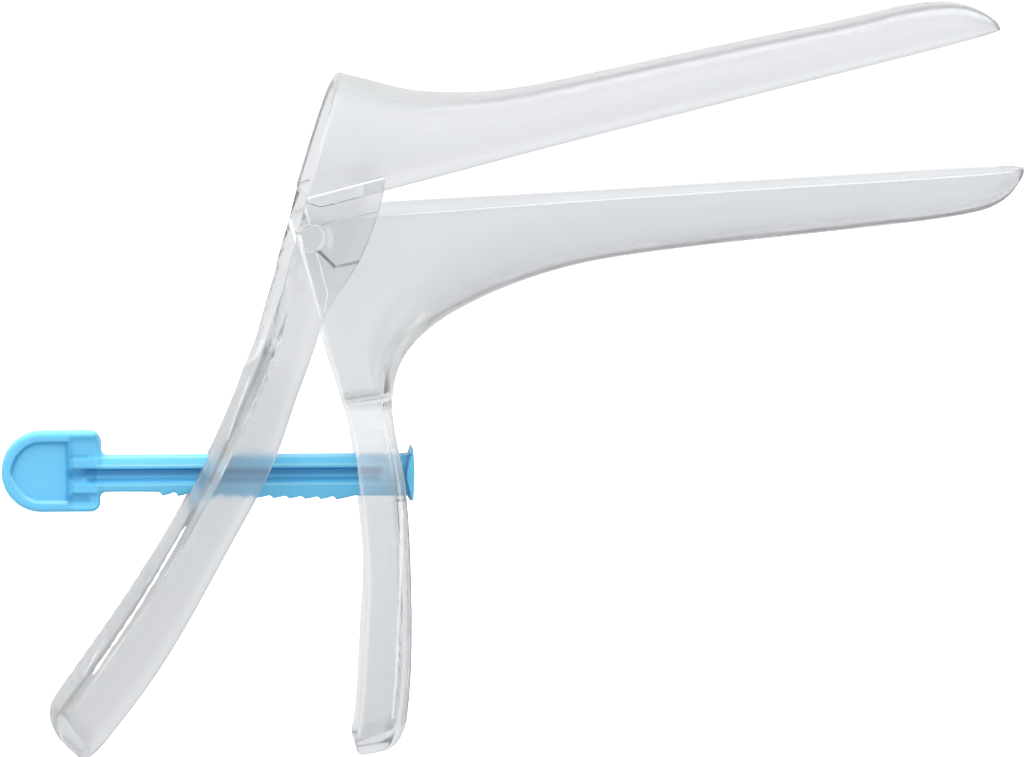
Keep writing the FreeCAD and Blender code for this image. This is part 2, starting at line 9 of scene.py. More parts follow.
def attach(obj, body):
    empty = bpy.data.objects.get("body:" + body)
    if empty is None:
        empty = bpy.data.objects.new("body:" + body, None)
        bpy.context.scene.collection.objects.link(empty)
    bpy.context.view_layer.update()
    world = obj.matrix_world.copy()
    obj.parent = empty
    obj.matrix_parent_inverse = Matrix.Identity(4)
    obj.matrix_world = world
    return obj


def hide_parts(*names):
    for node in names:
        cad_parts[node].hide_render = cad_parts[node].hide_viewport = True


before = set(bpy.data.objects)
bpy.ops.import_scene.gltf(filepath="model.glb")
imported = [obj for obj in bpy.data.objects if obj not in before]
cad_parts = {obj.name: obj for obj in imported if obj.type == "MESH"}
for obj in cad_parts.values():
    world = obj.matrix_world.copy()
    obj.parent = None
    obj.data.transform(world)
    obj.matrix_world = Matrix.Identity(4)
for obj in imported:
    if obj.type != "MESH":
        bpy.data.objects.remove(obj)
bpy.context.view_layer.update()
MM = 0.001


# ------------------------------------------------------------------ maths
def spline(t, y, q):
    """Natural cubic through the rows of y at t, read at q."""
    n = len(t)
    h = np.diff(t)
    a = np.zeros((n, n))
    r = np.zeros_like(y)
    a[0, 0] = a[-1, -1] = 1.0
    for i in range(1, n - 1):
        a[i, i - 1], a[i, i], a[i, i + 1] = h[i - 1], 2 * (h[i - 1] + h[i]), h[i]
        r[i] = 6 * ((y[i + 1] - y[i]) / h[i] - (y[i] - y[i - 1]) / h[i - 1])
    m = np.linalg.solve(a, r)
    k = np.clip(np.searchsorted(t, q) - 1, 0, n - 2)
    d = (q - t[k])[:, None]
    e = (t[k + 1] - q)[:, None]
    hk = h[k][:, None]
    return (
        (m[k] * e**3 + m[k + 1] * d**3) / (6 * hk)
        + (y[k] / hk - m[k] * hk / 6) * e
        + (y[k + 1] / hk - m[k + 1] * hk / 6) * d
    )


def smooth(x, lo, hi):
    t = np.clip((x - lo) / (hi - lo), 0.0, 1.0)
    return t * t * (3 - 2 * t)


def fine(pts, step=0.5):
    """A curve through pts, sampled finely."""
    p = np.array(pts, float)
    t = np.concatenate(([0.0], np.cumsum(np.hypot(*np.diff(p, axis=0).T))))
    return spline(t, p, np.linspace(0, t[-1], max(4, int(t[-1] / step) + 1)))


def ray_hit(p, n, line):
    """Where the ray p + n b first meets the polyline, as b."""
    a, b = line[:-1], line[1:]
    d = b - a
    den = n[0] * d[:, 1] - n[1] * d[:, 0]
    den = np.where(np.abs(den) < 1e-9, 1e-9, den)
    w = a - p
    s = (w[:, 0] * d[:, 1] - w[:, 1] * d[:, 0]) / den
    u = (w[:, 0] * n[1] - w[:, 1] * n[0]) / den
    ok = (u >= -0.001) & (u <= 1.001) & (s > 0.05)
    return float(s[ok].min()) if ok.any() else None


# --------------------------------------------------------------- sections
def half_profile(wb, wt, high, r, rc):
    """Half a U section from the crown's middle to the top of the side."""
    beta = math.atan2(wt - wb, high)
    d = (-math.sin(beta), -math.cos(beta))
    nr = (-math.cos(beta), math.sin(beta))
    q = (wt + r * nr[0], high + r * nr[1] - rc)
    b = q[0] * d[0] + q[1] * d[1]
    c = q[0] ** 2 + q[1] ** 2 - (rc - r) ** 2
    s = -b + math.sqrt(max(b * b - c, 0.0))
    cx, cy = q[0] + s * d[0], q[1] + s * d[1] + rc
    low = (cx - nr[0] * r, cy - nr[1] * r)
    a1 = math.atan2(cx, rc - cy)
    out = [(rc * math.sin(a), rc - rc * math.cos(a)) for a in np.linspace(0, a1, 16)]
    e0 = math.atan2(low[1] - cy, low[0] - cx)
    s0 = math.atan2(out[-1][1] - cy, out[-1][0] - cx)
    out += [(cx + r * math.cos(a), cy + r * math.sin(a)) for a in np.linspace(s0, e0, 25)[1:]]
    k = (high * 1.6 - low[1]) / math.cos(beta)
    out.append((low[0] - d[0] * k, low[1] - d[1] * k))
    return np.array(out)


def cut(line, top, n):
    """The polyline up to height top, as n points evenly spaced."""
    b = np.maximum.accumulate(line[:, 1])
    top = min(max(top, b[1]), b[-1])
    i = int(np.searchsorted(b, top))
    f = (top - b[i - 1]) / max(b[i] - b[i - 1], 1e-9)
    end = line[i - 1] + (line[i] - line[i - 1]) * f
    p = np.vstack([line[:i], end])
    s = np.concatenate(([0.0], np.cumsum(np.hypot(*np.diff(p, axis=0).T))))
    q = np.linspace(0, s[-1], n)
    return np.stack([np.interp(q, s, p[:, 0]), np.interp(q, s, p[:, 1])], 1)


def shell(name, rows, limit, steps, down=False, ramp=((0, 0), (0, 0)), round_end=(0, 0), ribs=None, n=34, lip=0.5, plate=False):
    """A trough with rounded rims, swept along stations.
    rows: x, z, tilt, half width low, half width high, height, corner, crown, wall.
    limit(p, n): distance along the section to the rim.
    ramp: ((start, length), (start, length)) in mm from each end, over which
    the hollow grows from nothing to its full depth.
    round_end: radius in mm of the closed ends.
    plate: the first end is the rounded top of two flat plates."""
    rows = np.array(rows, float)
    t = np.concatenate(([0.0], np.cumsum(np.hypot(*np.diff(rows[:, :2], axis=0).T))))
    total = t[-1]
    q = [0.0]
    while q[-1] < total:
        q.append(q[-1] + steps(q[-1], total))
    q[-1] = total
    q = np.array(q)
    st = spline(t, rows, q)
    rings = []
    lips = 7
    for k, s in enumerate(q):
        x, z, tilt, wb, wt, high, r, rc, wall = st[k]
        a = math.radians(tilt)
        nv = np.array([-math.sin(a), math.cos(a)]) * (-1 if down else 1)
        p = np.array([x, z])
        inset = 0.0
        for dist, rad in ((s, round_end[0]), (total - s, round_end[1])):
            if rad and dist < rad:
                inset = max(inset, rad - math.sqrt(max(rad * rad - (rad - dist) ** 2, 0.0)))
        top = limit(p, nv) - inset
        wb, wt = max(wb - inset, 0.4), max(wt - inset, 0.4)
        r = max(min(r, wb * 0.8), 0.3)
        rho = min(lip, wall * 0.5, max(top * 0.4, 0.05))
        depth = 1.0
        for dist, (start, length) in ((s, ramp[0]), (total - s, ramp[1])):
            if length:
                depth = min(depth, float(smooth(np.array(dist), start, start + length)))
        outer = cut(half_profile(wb, wt, high, r, rc), top - rho, n)
        outer[:, 1] += inset
        top += inset
        wi = max(min(wall, wb * 0.5) - (2 * inset if plate and s < round_end[0] else 0.0), 0.12)
        ri = max(r - wi, min(0.5, (wb - wi) * 0.5))
        inner = half_profile(wb - wi, wt - wi, high, ri, rc - wi)
        inner[:, 1] += wi
        inner = cut(inner, max(top - rho, wi + 0.06), n)
        if ribs is not None:
            g = ribs(s, outer)
            outer[:, 1] += g
        inner[:, 1] = top - (top - inner[:, 1]) * depth
        mid, half = (outer[-1, 0] + inner[-1, 0]) / 2, (outer[-1, 0] - inner[-1, 0]) / 2
        th = np.linspace(0, math.pi, lips + 2)[1:-1]
        ex = 0.5
        la = mid + half * np.sign(np.cos(th)) * np.abs(np.cos(th)) ** ex
        base = np.where(th < math.pi / 2, outer[-1, 1], inner[-1, 1])
        lb = base + (top - base) * np.sin(th) ** ex
        right = np.concatenate([outer[1:], np.stack([la, lb], 1), inner[::-1]])
        left = right[:-1][::-1] * np.array([-1, 1])
        ring = np.vstack([outer[:1], right, left])
        pos = np.empty((len(ring), 3))
        pos[:, 0] = p[0] + nv[0] * ring[:, 1]
        pos[:, 1] = ring[:, 0]
        pos[:, 2] = p[1] + nv[1] * ring[:, 1]
        rings.append(pos)
    v = np.concatenate(rings) * MM
    m = len(rings[0])
    faces = []
    for k in range(len(rings) - 1):
        a0, b0 = k * m, (k + 1) * m
        for i in range(m):
            j = (i + 1) % m
            faces.append((a0 + i, a0 + j, b0 + j, b0 + i))
    faces.append(tuple(range(m - 1, -1, -1)))
    last = (len(rings) - 1) * m
    faces.append(tuple(last + i for i in range(m)))
    return make(name, v, faces)


def make(name, verts, faces):
    me = bpy.data.meshes.new(name)
    me.from_pydata([tuple(map(float, p)) for p in verts], [], faces)
    me.validate()
    bm = bmesh.new()
    bm.from_mesh(me)
    bmesh.ops.recalc_face_normals(bm, faces=bm.faces)
    bm.to_mesh(me)
    bm.free()
    me.shade_smooth()
    ob = bpy.data.objects.new(name, me)
    bpy.context.scene.collection.objects.link(ob)
    return ob


def prism(name, outline, y0, y1, bevel=0.0, segs=3, axis="y"):
    """A closed solid from an outline, between two planes, its rims rounded.
    axis y: the outline is X, Z. axis x: the outline is Y, Z."""
    bm = bmesh.new()
    pts = np.array(outline, float)
    vs = []
    for a, b in pts:
        co = (a, y0, b) if axis == "y" else (y0, a, b)
        vs.append(bm.verts.new(Vector(co) * MM))
    f = bm.faces.new(vs)
    ext = bmesh.ops.extrude_face_region(bm, geom=[f])
    mv = Vector((0, y1 - y0, 0) if axis == "y" else (y1 - y0, 0, 0)) * MM
    bmesh.ops.translate(bm, vec=mv, verts=[g for g in ext["geom"] if isinstance(g, bmesh.types.BMVert)])
    bmesh.ops.recalc_face_normals(bm, faces=bm.faces)
    if bevel:
        caps = [g for g in bm.faces if len(g.verts) == len(pts)]
        edges = {e for c in caps for e in c.edges}
        bmesh.ops.bevel(bm, geom=list(edges), offset=bevel * MM, segments=segs, affect="EDGES", profile=0.5)
    me = bpy.data.meshes.new(name)
    bm.to_mesh(me)
    bm.free()
    ob = bpy.data.objects.new(name, me)
    bpy.context.scene.collection.objects.link(ob)
    return ob


def rounded_rect(x0, y0, x1, y1, r, n=6):
    out = []
    for cx, cy, a0 in ((x1 - r, y1 - r, 0), (x0 + r, y1 - r, 90), (x0 + r, y0 + r, 180), (x1 - r, y0 + r, 270)):
        for k in range(n):
            a = math.radians(a0 + 90 * k / (n - 1))
            out.append((cx + r * math.cos(a), cy + r * math.sin(a)))
    return out


def disc(r, n=48, cx=0.0, cy=0.0):
    return [(cx + r * math.cos(2 * math.pi * k / n), cy + r * math.sin(2 * math.pi * k / n)) for k in range(n)]


def boolean(ob, other, op):
    mod = ob.modifiers.new("b", "BOOLEAN")
    mod.object = other
    mod.operation = op
    mod.solver = "EXACT"
    dg = bpy.context.evaluated_depsgraph_get()
    me = bpy.data.meshes.new_from_object(ob.evaluated_get(dg))
    ob.modifiers.clear()
    old = ob.data
    ob.data = me
    bpy.data.meshes.remove(old)
    bpy.data.objects.remove(other)
    return ob


def finish_mesh(ob, angle=38):
    bm = bmesh.new()
    bm.from_mesh(ob.data)
    bmesh.ops.remove_doubles(bm, verts=bm.verts, dist=6e-7)
    bmesh.ops.dissolve_degenerate(bm, dist=5e-7, edges=bm.edges)
    # a big flat face with holes shades badly, so it is cut into triangles
    bmesh.ops.triangulate(bm, faces=[f for f in bm.faces if len(f.verts) > 4])
    lim = math.radians(angle)
    for e in bm.edges:
        e.smooth = len(e.link_faces) == 2 and e.calc_face_angle(0) < lim
    for f in bm.faces:
        f.smooth = True
    bad = sum(1 for e in bm.edges if len(e.link_faces) != 2)
    bm.to_mesh(ob.data)
    bm.free()
    print("mesh", ob.name, "faces", len(ob.data.polygons), "open or joined edges", bad)
    return ob


# ------------------------------------------------------------ lower valve
W = 1.7
LOW = [
    (126.28, 10.1, 0, 2.2, 2.2, 5, 0.9, 24, W),
    (125.95, 9.3, 0, 4.4, 4.4, 6, 1.6, 30, W),
    (125.05, 7.9, 0, 6.8, 6.8, 7, 2.6, 34, W),
    (123.3, 5.75, 0, 9.1, 9.1, 9, 4.2, 38, W),
    (120.4, 3.7, 0, 11.1, 11.1, 11, 6.2, 40, W),
    (116.5, 2.55, 0, 12.5, 12.5, 12, 7.6, 42, W),
    (111.0, 1.6, 0, 13.4, 13.4, 13, 8.4, 42, W),
    (102.0, 0.55, 0, 13.9, 13.9, 13, 8.8, 42, W),
    (88.0, -0.95, 0, 14.2, 14.2, 14, 9.0, 42, W),
    (72.0, -2.6, 0, 14.6, 14.6, 16, 9.4, 42, W),
    (58.0, -4.3, 0, 15.2, 15.2, 17, 10.0, 42, W),
    (48.0, -6.0, 2, 16.0, 16.0, 19, 10.6, 42, W),
    (39.0, -8.5, 6, 17.2, 17.2, 21, 11.4, 42, W),
    (32.0, -11.2, 12, 18.4, 18.6, 23, 12.0, 42, W),
    (26.0, -14.2, 20, 19.2, 20.0, 26, 12.4, 42, W),
    (21.3, -17.4, 33, 19.4, 21.3, 32, 12.0, 38, W),
    (18.2, -20.6, 47, 18.0, 22.6, 36, 10.2, 30, W),
    (16.2, -24.0, 62, 13.6, 19.6, 27, 6.4, 24, W),
    (15.15, -28.0, 77, 10.6, 13.0, 20, 3.0, 45, W),
    (15.0, -32.0, 86, 9.6, 9.9, 15, 1.8, 90, W),
    (15.6, -36.5, 90, 9.5, 9.5, 14, 1.4, 200, W),
    (16.7, -42.5, 90, 9.5, 9.5, 13, 1.3, 300, W),
    (17.5, -50.0, 90, 9.5, 9.5, 13, 1.3, 300, W),
    (18.0, -62.0, 90, 9.5, 9.5, 13, 1.3, 300, W),
    (17.95, -76.0, 90, 9.5, 9.5, 14, 1.3, 300, W),
    (17.3, -84.2, 91, 9.4, 9.4, 14, 1.4, 300, W),
    (16.8, -86.9, 95, 9.35, 9.35, 14, 1.5, 300, W),
    (15.9, -88.8, 98, 9.3, 9.3, 12, 1.6, 300, W),
    (14.6, -90.15, 99.5, 9.3, 9.3, 10, 1.6, 300, W),
    (13.4, -90.75, 99.5, 9.25, 9.25, 10, 1.6, 300, W),
]
RIM = np.array([(132.0, 3.1 + 0.06 * 132.0), (1.2, 3.17)])
CORNER = fine([(1.2, 3.17), (-0.6, 2.95), (-1.8, 2.2), (-2.35, 0.9)], 0.2)
MOUTH = fine(
    [(-2.35, 0.9), (-1.95, -1.2), (-0.3, -7.4), (1.55, -14.1), (2.87, -18.9), (4.42, -24.3), (5.85, -29.0), (7.2, -33.5), (8.2, -38.5)]
)
REAR = fine(
    [(8.2, -38.5), (9.0, -46.0), (9.75, -53.5), (10.15, -61.0), (9.75, -68.0), (9.25, -77.0), (8.85, -83.5), (8.3, -88.0), (8.05, -89.6), (8.35, -90.8), (9.3, -91.55), (10.5, -91.85), (11.6, -92.0)]
)
LOW_LIMIT = np.vstack([RIM, CORNER[1:], MOUTH[1:], REAR[1:]])


def low_limit(p, n):
    b = ray_hit(p, n, LOW_LIMIT)
    return b if b is not None else 1.0


def low_steps(s, total):
    if s < 6:
        return 0.25
    if s < 12:
        return 0.5
    d = total - s
    if d < 6:
        return 0.22
    if 9.5 < d < 31:
        return 0.3
    return 0.8


def handle_ribs(s, outer):
    d = LOW_TOTAL - s
    out = np.zeros(len(outer))
    if 10.5 < d < 29.5:
        k = (d - 11.2) / 2.3
        wave = max(0.0, math.cos((k - round(k)) * 2 * math.pi)) ** 0.7 if 0 <= round(k) <= 7 else 0.0
        edge = 1 - smooth(outer[:, 0], 5.6, 6.8)
        out += (0.18 * wave - 0.08) * edge * (outer[:, 1] < 1.2)
    return out


_r = np.array(LOW)[:, :2]
LOW_TOTAL = float(np.sum(np.hypot(*np.diff(_r, axis=0).T)))
lower = shell(
    "lower_valve_body",
    LOW,
    low_limit,
    low_steps,
    ramp=((1.9, 2.4), (3.4, 2.4)),
    round_end=(0.0, 0.8),
    ribs=handle_ribs,
)
floor = prism(
    "floor", [(6.1, -28.9), (14.1, -27.55), (13.9, -29.05), (6.6, -30.3)], -8.9, 8.9, 0.3
)
boolean(lower, floor, "UNION")
for side in (-1, 1):
    pin = prism("pin", disc(2.12, 56), side * 20.9, side * 23.9, 0.28, 3)
    boolean(lower, pin, "UNION")
slot = prism("slot", rounded_rect(-3.3, -47.35, 3.3, -37.85, 0.5), 10.0, 24.0, axis="x")
boolean(lower, slot, "DIFFERENCE")
finish_mesh(lower)

# ------------------------------------------------------------ upper valve
UPPER = [
    (122.0, 35.15, 13.9, 1.9, 1.9, 6, 0.9, 24, W),
    (121.45, 35.95, 13.9, 4.1, 4.1, 7, 1.5, 30, W),
    (120.45, 36.95, 13.9, 6.2, 6.2, 8, 2.4, 34, W),
    (118.5, 38.25, 13.9, 8.9, 8.9, 10, 4.2, 38, W),
    (115.1, 39.55, 13.9, 11.0, 11.0, 12, 6.4, 40, W),
    (110.9, 39.88, 13.9, 12.4, 12.4, 13, 7.6, 42, W),
    (105.6, 39.3, 13.9, 13.3, 13.3, 14, 8.2, 42, W),
    (96.9, 37.3, 13.9, 13.9, 13.9, 14, 8.6, 42, W),
    (84.1, 34.6, 13.9, 14.2, 14.2, 15, 8.8, 42, W),
    (68.5, 31.4, 13.9, 14.6, 14.6, 16, 9.2, 42, W),
    (52.8, 28.05, 13.9, 15.2, 15.2, 18, 9.8, 42, W),
    (43.0, 26.0, 12.8, 15.9, 15.9, 20, 10.4, 42, W),
    (35.1, 24.68, 10.5, 17.1, 17.1, 22, 11.2, 42, W),
    (28.0, 24.17, 7.0, 18.7, 18.9, 24, 12.2, 42, W),
    (22.3, 24.25, 2.5, 20.1, 20.4, 26, 13.2, 40, W),
    (17.0, 24.85, -3.5, 21.3, 21.6, 28, 14.2, 38, W),
    (12.2, 26.05, -9.6, 22.1, 22.4, 30, 15.0, 36, W),
    (8.6, 27.0, -14.0, 22.6, 22.75, 32, 15.4, 36, W),
    (5.3, 27.85, -16.7, 22.75, 22.8, 34, 15.6, 36, W),
]
TA = math.radians(13.9)


def up(u, v):
    return (u * math.cos(TA) - v * math.sin(TA), u * math.sin(TA) + v * math.cos(TA))


UP_LIMIT = np.vstack([[up(134, 4.63)], [up(4.2, 4.63)], fine([up(4.2, 4.63), (1.6, 5.3), (-0.4, 6.2), (-1.6, 7.6), (-4.0, 10.5)], 0.3)[1:]])


def up_limit(p, n):
    b = ray_hit(p, n, UP_LIMIT)
    return b if b is not None else 1.0


def up_steps(s, total):
    if s < 6:
        return 0.25
    if s < 12:
        return 0.5
    d = total - s
    if d < 4:
        return 0.2
    return 0.8


upper = shell(
    "upper_valve_body",
    UPPER,
    up_limit,
    up_steps,
    down=True,
    ramp=((1.9, 2.4), (0, 0)),
    round_end=(0.0, 0.75),
)

E = 2.0
L = 2.0
LEVER = [
    (-1.35, 7.05, -75.6, 23.96, 23.96, 22, 1.2, 400, E),
    (-1.72, 5.4, -83.0, 23.96, 23.96, 22, 1.2, 400, E),
    (-2.45, 2.6, -92.0, 23.96, 23.96, 21, 1.2, 400, E),
    (-3.25, -0.4, -100.5, 23.96, 23.96, 20, 1.2, 400, E),
    (-4.4, -4.2, -106.3, 23.96, 23.96, 19, 1.2, 400, E),
    (-5.5, -7.8, -107.8, 23.9, 23.93, 18, 1.3, 300, E),
    (-6.5, -11.0, -107.9, 23.4, 23.7, 16, 1.5, 260, 1.9),
    (-7.85, -15.0, -108.4, 22.0, 22.6, 16, 1.8, 200, L),
    (-9.5, -20.0, -109.4, 18.7, 19.2, 16, 2.2, 120, L),
    (-10.98, -24.0, -110.5, 15.6, 15.8, 16, 2.1, 80, L),
    (-12.53, -28.0, -111.7, 13.4, 13.5, 16, 1.8, 60, L),
    (-14.65, -33.0, -113.4, 12.3, 12.3, 16, 1.5, 50, L),
    (-17.4, -39.0, -115.6, 12.0, 12.0, 16, 1.3, 45, L),
    (-20.95, -46.0, -118.2, 12.0, 12.0, 16, 1.3, 45, L),
    (-25.5, -54.0, -121.0, 12.0, 12.0, 16, 1.3, 45, L),
    (-30.55, -62.0, -123.3, 12.0, 12.0, 16, 1.3, 45, L),
    (-36.0, -70.0, -125.1, 12.0, 12.0, 16, 1.3, 45, L),
    (-41.0, -77.0, -127.0, 12.0, 12.0, 17, 1.4, 45, L),
    (-44.0, -81.2, -129.0, 11.95, 11.95, 18, 1.6, 45, L),
    (-45.3, -83.8, -131.0, 11.9, 11.9, 18, 1.6, 45, L),
    (-45.1, -86.1, -131.2, 11.8, 11.8, 18, 1.6, 45, L),
    (-44.15, -87.65, -131.0, 11.8, 11.8, 18, 1.6, 45, L),
]
FRONT = fine(
    [
        (13.1, 15.0),
        (12.75, 10.72),
        (12.4, 7.6),
        (11.6, 4.4),
        (10.2, 0.4),
        (8.6, -3.4),
        (5.9, -7.8),
        (3.4, -11.4),
        (1.9, -14.9),
        (0.65, -19.1),
        (-0.7, -23.4),
        (-2.2, -28.0),
        (-4.9, -36.4),
        (-8.6, -44.8),
        (-13.1, -53.1),
        (-17.7, -61.5),
        (-22.4, -69.8),
        (-27.8, -78.2),
        (-34.1, -86.5),
        (-37.8, -90.55),
        (-38.9, -91.3),
        (-40.6, -92.0),
        (-42.5, -92.6),
    ]
)


def lever_limit(p, n):
    b = ray_hit(p, n, FRONT)
    return b if b is not None else 6.0


def lever_steps(s, total):
    d = total - s
    if s < 3:
        return 0.25
    if d < 7:
        return 0.22
    if 9 < d < 38:
        return 0.3
    return 0.7


_r = np.array(LEVER)[:, :2]
LEVER_TOTAL = float(np.sum(np.hypot(*np.diff(_r, axis=0).T)))


def lever_ribs(s, outer):
    d = LEVER_TOTAL - s
    out = np.zeros(len(outer))
    if 10 < d < 35:
        k = (d - 11.5) / 2.9
        wave = max(0.0, math.cos((k - round(k)) * 2 * math.pi)) ** 0.7 if 0 <= round(k) <= 7 else 0.0
        edge = 1 - smooth(outer[:, 0], 7.4, 8.8)
        out += (0.14 * wave - 0.06) * edge * (outer[:, 1] < 2.2)
    return out


lever = shell(
    "lever_body",
    LEVER,
    lever_limit,
    lever_steps,
    ramp=((0, 0), (3.4, 2.6)),
    round_end=(0.3, 1.5),
    ribs=lever_ribs,
    plate=True,
)
ARCH = fine([(22.3, -8.0), (21.2, -11.5), (18.6, -16.0), (14.6, -20.2), (8.5, -22.9), (0.0, -23.8)], 0.8)
window = [(-22.3, 20.0), (-22.3, -8.0)] + [(-a, b) for a, b in ARCH[1:]] + [(a, b) for a, b in ARCH[-2::-1]] + [(22.3, 20.0)]
boolean(lever, prism("window", window, -30.0, 20.0, axis="x"), "DIFFERENCE")
boolean(
    lever, prism("slot2", rounded_rect(-3.3, -48.15, 3.3, -38.15, 0.5), -30.0, -8.0, axis="x"), "DIFFERENCE"
)
LEAD = [(0.6, 1.8), (16.0, 5.65), (16.0, -1.9), (4.15, -4.68), (1.6, -2.2), (0.6, -1.8)]


def tapered(name, outline, grow, y0, y1):
    """A closed solid from an outline at y1 to one at y0 that is wider by
    grow, a distance for each side of the outline."""
    o = np.array(outline, float)
    k = len(o)
    grow = np.array(grow, float)
    area = 0.5 * np.sum(o[:, 0] * np.roll(o[:, 1], -1) - np.roll(o[:, 0], -1) * o[:, 1])
    e = np.roll(o, -1, axis=0) - o
    e /= np.hypot(*e.T)[:, None]
    nrm = np.stack([e[:, 1], -e[:, 0]], 1) * np.sign(area)
    wide = np.array(
        [o[i] + np.linalg.solve(np.array([nrm[i - 1], nrm[i]]), np.array([grow[i - 1], grow[i]])) for i in range(k)]
    )
    verts = [(a * MM, y0 * MM, b * MM) for a, b in wide] + [(a * MM, y1 * MM, b * MM) for a, b in o]
    faces = [tuple(range(k)), tuple(range(2 * k - 1, k - 1, -1))]
    faces += [(i, (i + 1) % k, k + (i + 1) % k, k + i) for i in range(k)]
    ob = make(name, verts, faces)
    ob.data.shade_flat()
    return ob


boolean(upper, lever, "UNION")
bore = prism("bore", disc(2.2, 56), -30.0, 30.0)
boolean(upper, bore, "DIFFERENCE")
for side in (-1, 1):
    boolean(upper, tapered("lead", LEAD, (0.2, 0.2, 0.9, 0.9, 0.9, 0.2), side * 21.9, side * 22.9), "DIFFERENCE")
finish_mesh(upper)


# ------------------------------------------------------------ ratchet bar
TIP0, PITCH = -25.32, 2.771
VALLEY = np.array([(-60.0, -45.55), (-27.0, -45.6), (-6.0, -46.45), (3.0, -46.72), (8.4, -46.5), (60.0, -46.5)])
TIP = np.array([(-60.0, -46.3), (-25.3, -46.3), (-6.0, -46.88), (5.2, -47.22), (60.0, -47.22)])


def bar_outline():
    p = []

    def arc(cx, cy, rx, ry, a0, a1, n):
        for a in np.radians(np.linspace(a0, a1, n)):
            p.append((cx + rx * math.cos(a), cy + ry * math.sin(a)))

    arc(-37.9, -36.9, 1.9, 1.9, 0, 90, 9)
    p.append((-42.0, -35.0))
    p.append((-46.4, -35.0))
    arc(-46.45, -42.0, 7.0, 7.0, 92, 268, 46)
    p.append((-42.0, -49.0))
    arc(-37.9, -47.3, 1.7, 1.7, 270, 360, 8)
    arc(-35.15, -46.6, 1.05, 1.05, 180, 90, 6)
    p.append((-32.0, -45.55))
    p.append((-27.0, -45.6))
    for k in range(12):
        x = TIP0 + PITCH * k
        v = np.interp(x - 0.62, VALLEY[:, 0], VALLEY[:, 1])
        t = np.interp(x, TIP[:, 0], TIP[:, 1])
        w = np.interp(x + PITCH - 0.9, VALLEY[:, 0], VALLEY[:, 1])
        p.extend([(x - 0.62, v), (x - 0.42, v + (t - v) * 0.28), (x - 0.18, v + (t - v) * 0.86), (x, t), (x + 0.25, t * 0.9 + w * 0.1)])
        if k < 11:
            p.extend([(x + 1.2, t * 0.42 + w * 0.58), (x + PITCH - 1.0, w)])
    p.extend([(7.2, -46.75), (8.4, -46.5), (12.0, -46.5), (17.0, -46.5)])
    p.extend([(17.55, -46.6), (17.85, -47.3), (18.15, -47.4), (18.5, -47.3), (18.65, -45.5), (18.75, -42.4), (18.65, -40.2), (18.5, -38.1), (18.25, -38.0), (18.0, -38.2), (17.7, -39.2)])
    p.append((17.3, -39.3))
    for a in np.linspace(16.0, -34.0, 26):
        p.append((a, -39.3))
    arc(-34.9, -38.2, 1.1, 1.1, 270, 180, 6)
    q = [p[0]]
    for c in p[1:]:
        if math.hypot(c[0] - q[-1][0], c[1] - q[-1][1]) > 0.04:
            q.append(c)
    return q


def seg_dist(pts, loop):
    """Distance from each point to a closed polyline."""
    best = np.full(len(pts), 1e9)
    lp = np.array(loop)
    for a, b in zip(lp, np.roll(lp, -1, axis=0)):
        d = b - a
        t = np.clip(((pts - a) @ d) / max(d @ d, 1e-12), 0, 1)
        best = np.minimum(best, np.hypot(*(pts - a - t[:, None] * d).T))
    return best


def inside(pts, loop):
    lp = np.array(loop)
    x, y = pts[:, 0], pts[:, 1]
    c = np.zeros(len(pts), bool)
    for (x0, y0), (x1, y1) in zip(lp, np.roll(lp, -1, axis=0)):
        hit = ((y0 > y) != (y1 > y)) & (x < (x1 - x0) * (y - y0) / ((y1 - y0) if y1 != y0 else 1e-12) + x0)
        c ^= hit
    return c


def bar_height(p, loop):
    """Half thickness in mm at side-view points."""
    x, z = p[:, 0], p[:, 1]
    d = seg_dist(p, loop)
    dn = -z
    # the strap: two ribs with sloped outer faces and a groove between them
    strap = np.full(len(p), 2.8)
    strap = np.where(dn < 41.05, 2.8 - 0.85 * ((41.05 - dn) / 1.75) ** 1.25, strap)
    strap = np.where(dn > 44.35, 2.8 - 0.3 * (dn - 44.35) / 2.2, strap)
    wall = smooth(dn, 41.4, 41.85) * (1 - smooth(dn, 43.15, 44.1))
    gx = smooth(x, -39.3, -37.4) * (1 - smooth(x, 12.0, 13.4))
    strap = strap - 1.15 * wall * gx
    # head: rounded rim, recess with cut corners, a lower land to its right
    head = np.full(len(p), 3.1)
    edge = np.where(
        x < -46.4,
        5.3 - np.hypot(np.minimum(x + 46.4, 0.0), z + 42.0),
        5.3 - np.abs(z + 42.0),
    )
    edge = np.minimum(edge, (8.35 - (np.abs(z + 42.0) + np.maximum(-45.6 - x, 0.0) * 0.95)) * 0.75)
    edge = np.minimum(edge, -41.95 - x)
    head = head - 0.8 * smooth(edge, -0.12, 0.5)
    land = smooth(x, -42.0, -40.9) * smooth(np.minimum(-35.0 - z, z + 49.0), 0.5, 1.7) * (1 - smooth(x, -37.4, -36.4) * 0.75)
    head = head - 0.75 * land
    flare = smooth(x, -41.5, -40.6)
    mid = 40.5 + 0.0 * x
    low = 44.9 + 0.0 * x
    rib_a = (1 - smooth(np.abs(dn - mid), 0.62, 1.25)) * flare
    rib_b = (1 - smooth(np.abs(dn - low), 0.62, 1.15)) * flare
    head = head + 0.62 * np.maximum(rib_a, rib_b) * smooth(x, -42.0, -40.9)
    t = smooth(x, -37.3, -35.7)
    body = head * (1 - t) + strap * t
    body = body - 1.0 * wall * smooth(x, -39.4, -37.6) * (1 - t)
    # flange
    start = np.interp(z, [-47.6, -43.6, -41.9, -38.0], [18.12, 17.24, 17.24, 18.05])
    f = smooth(x - start, 0.0, 0.14)
    body = body * (1 - f) + 4.2 * f
    r = 0.45 + 0.4 * (1 - smooth(x, -38.0, -36.0))
    e = np.clip(d, 0, r)
    return body - r + np.sqrt(np.maximum(r * r - (r - e) ** 2, 0))


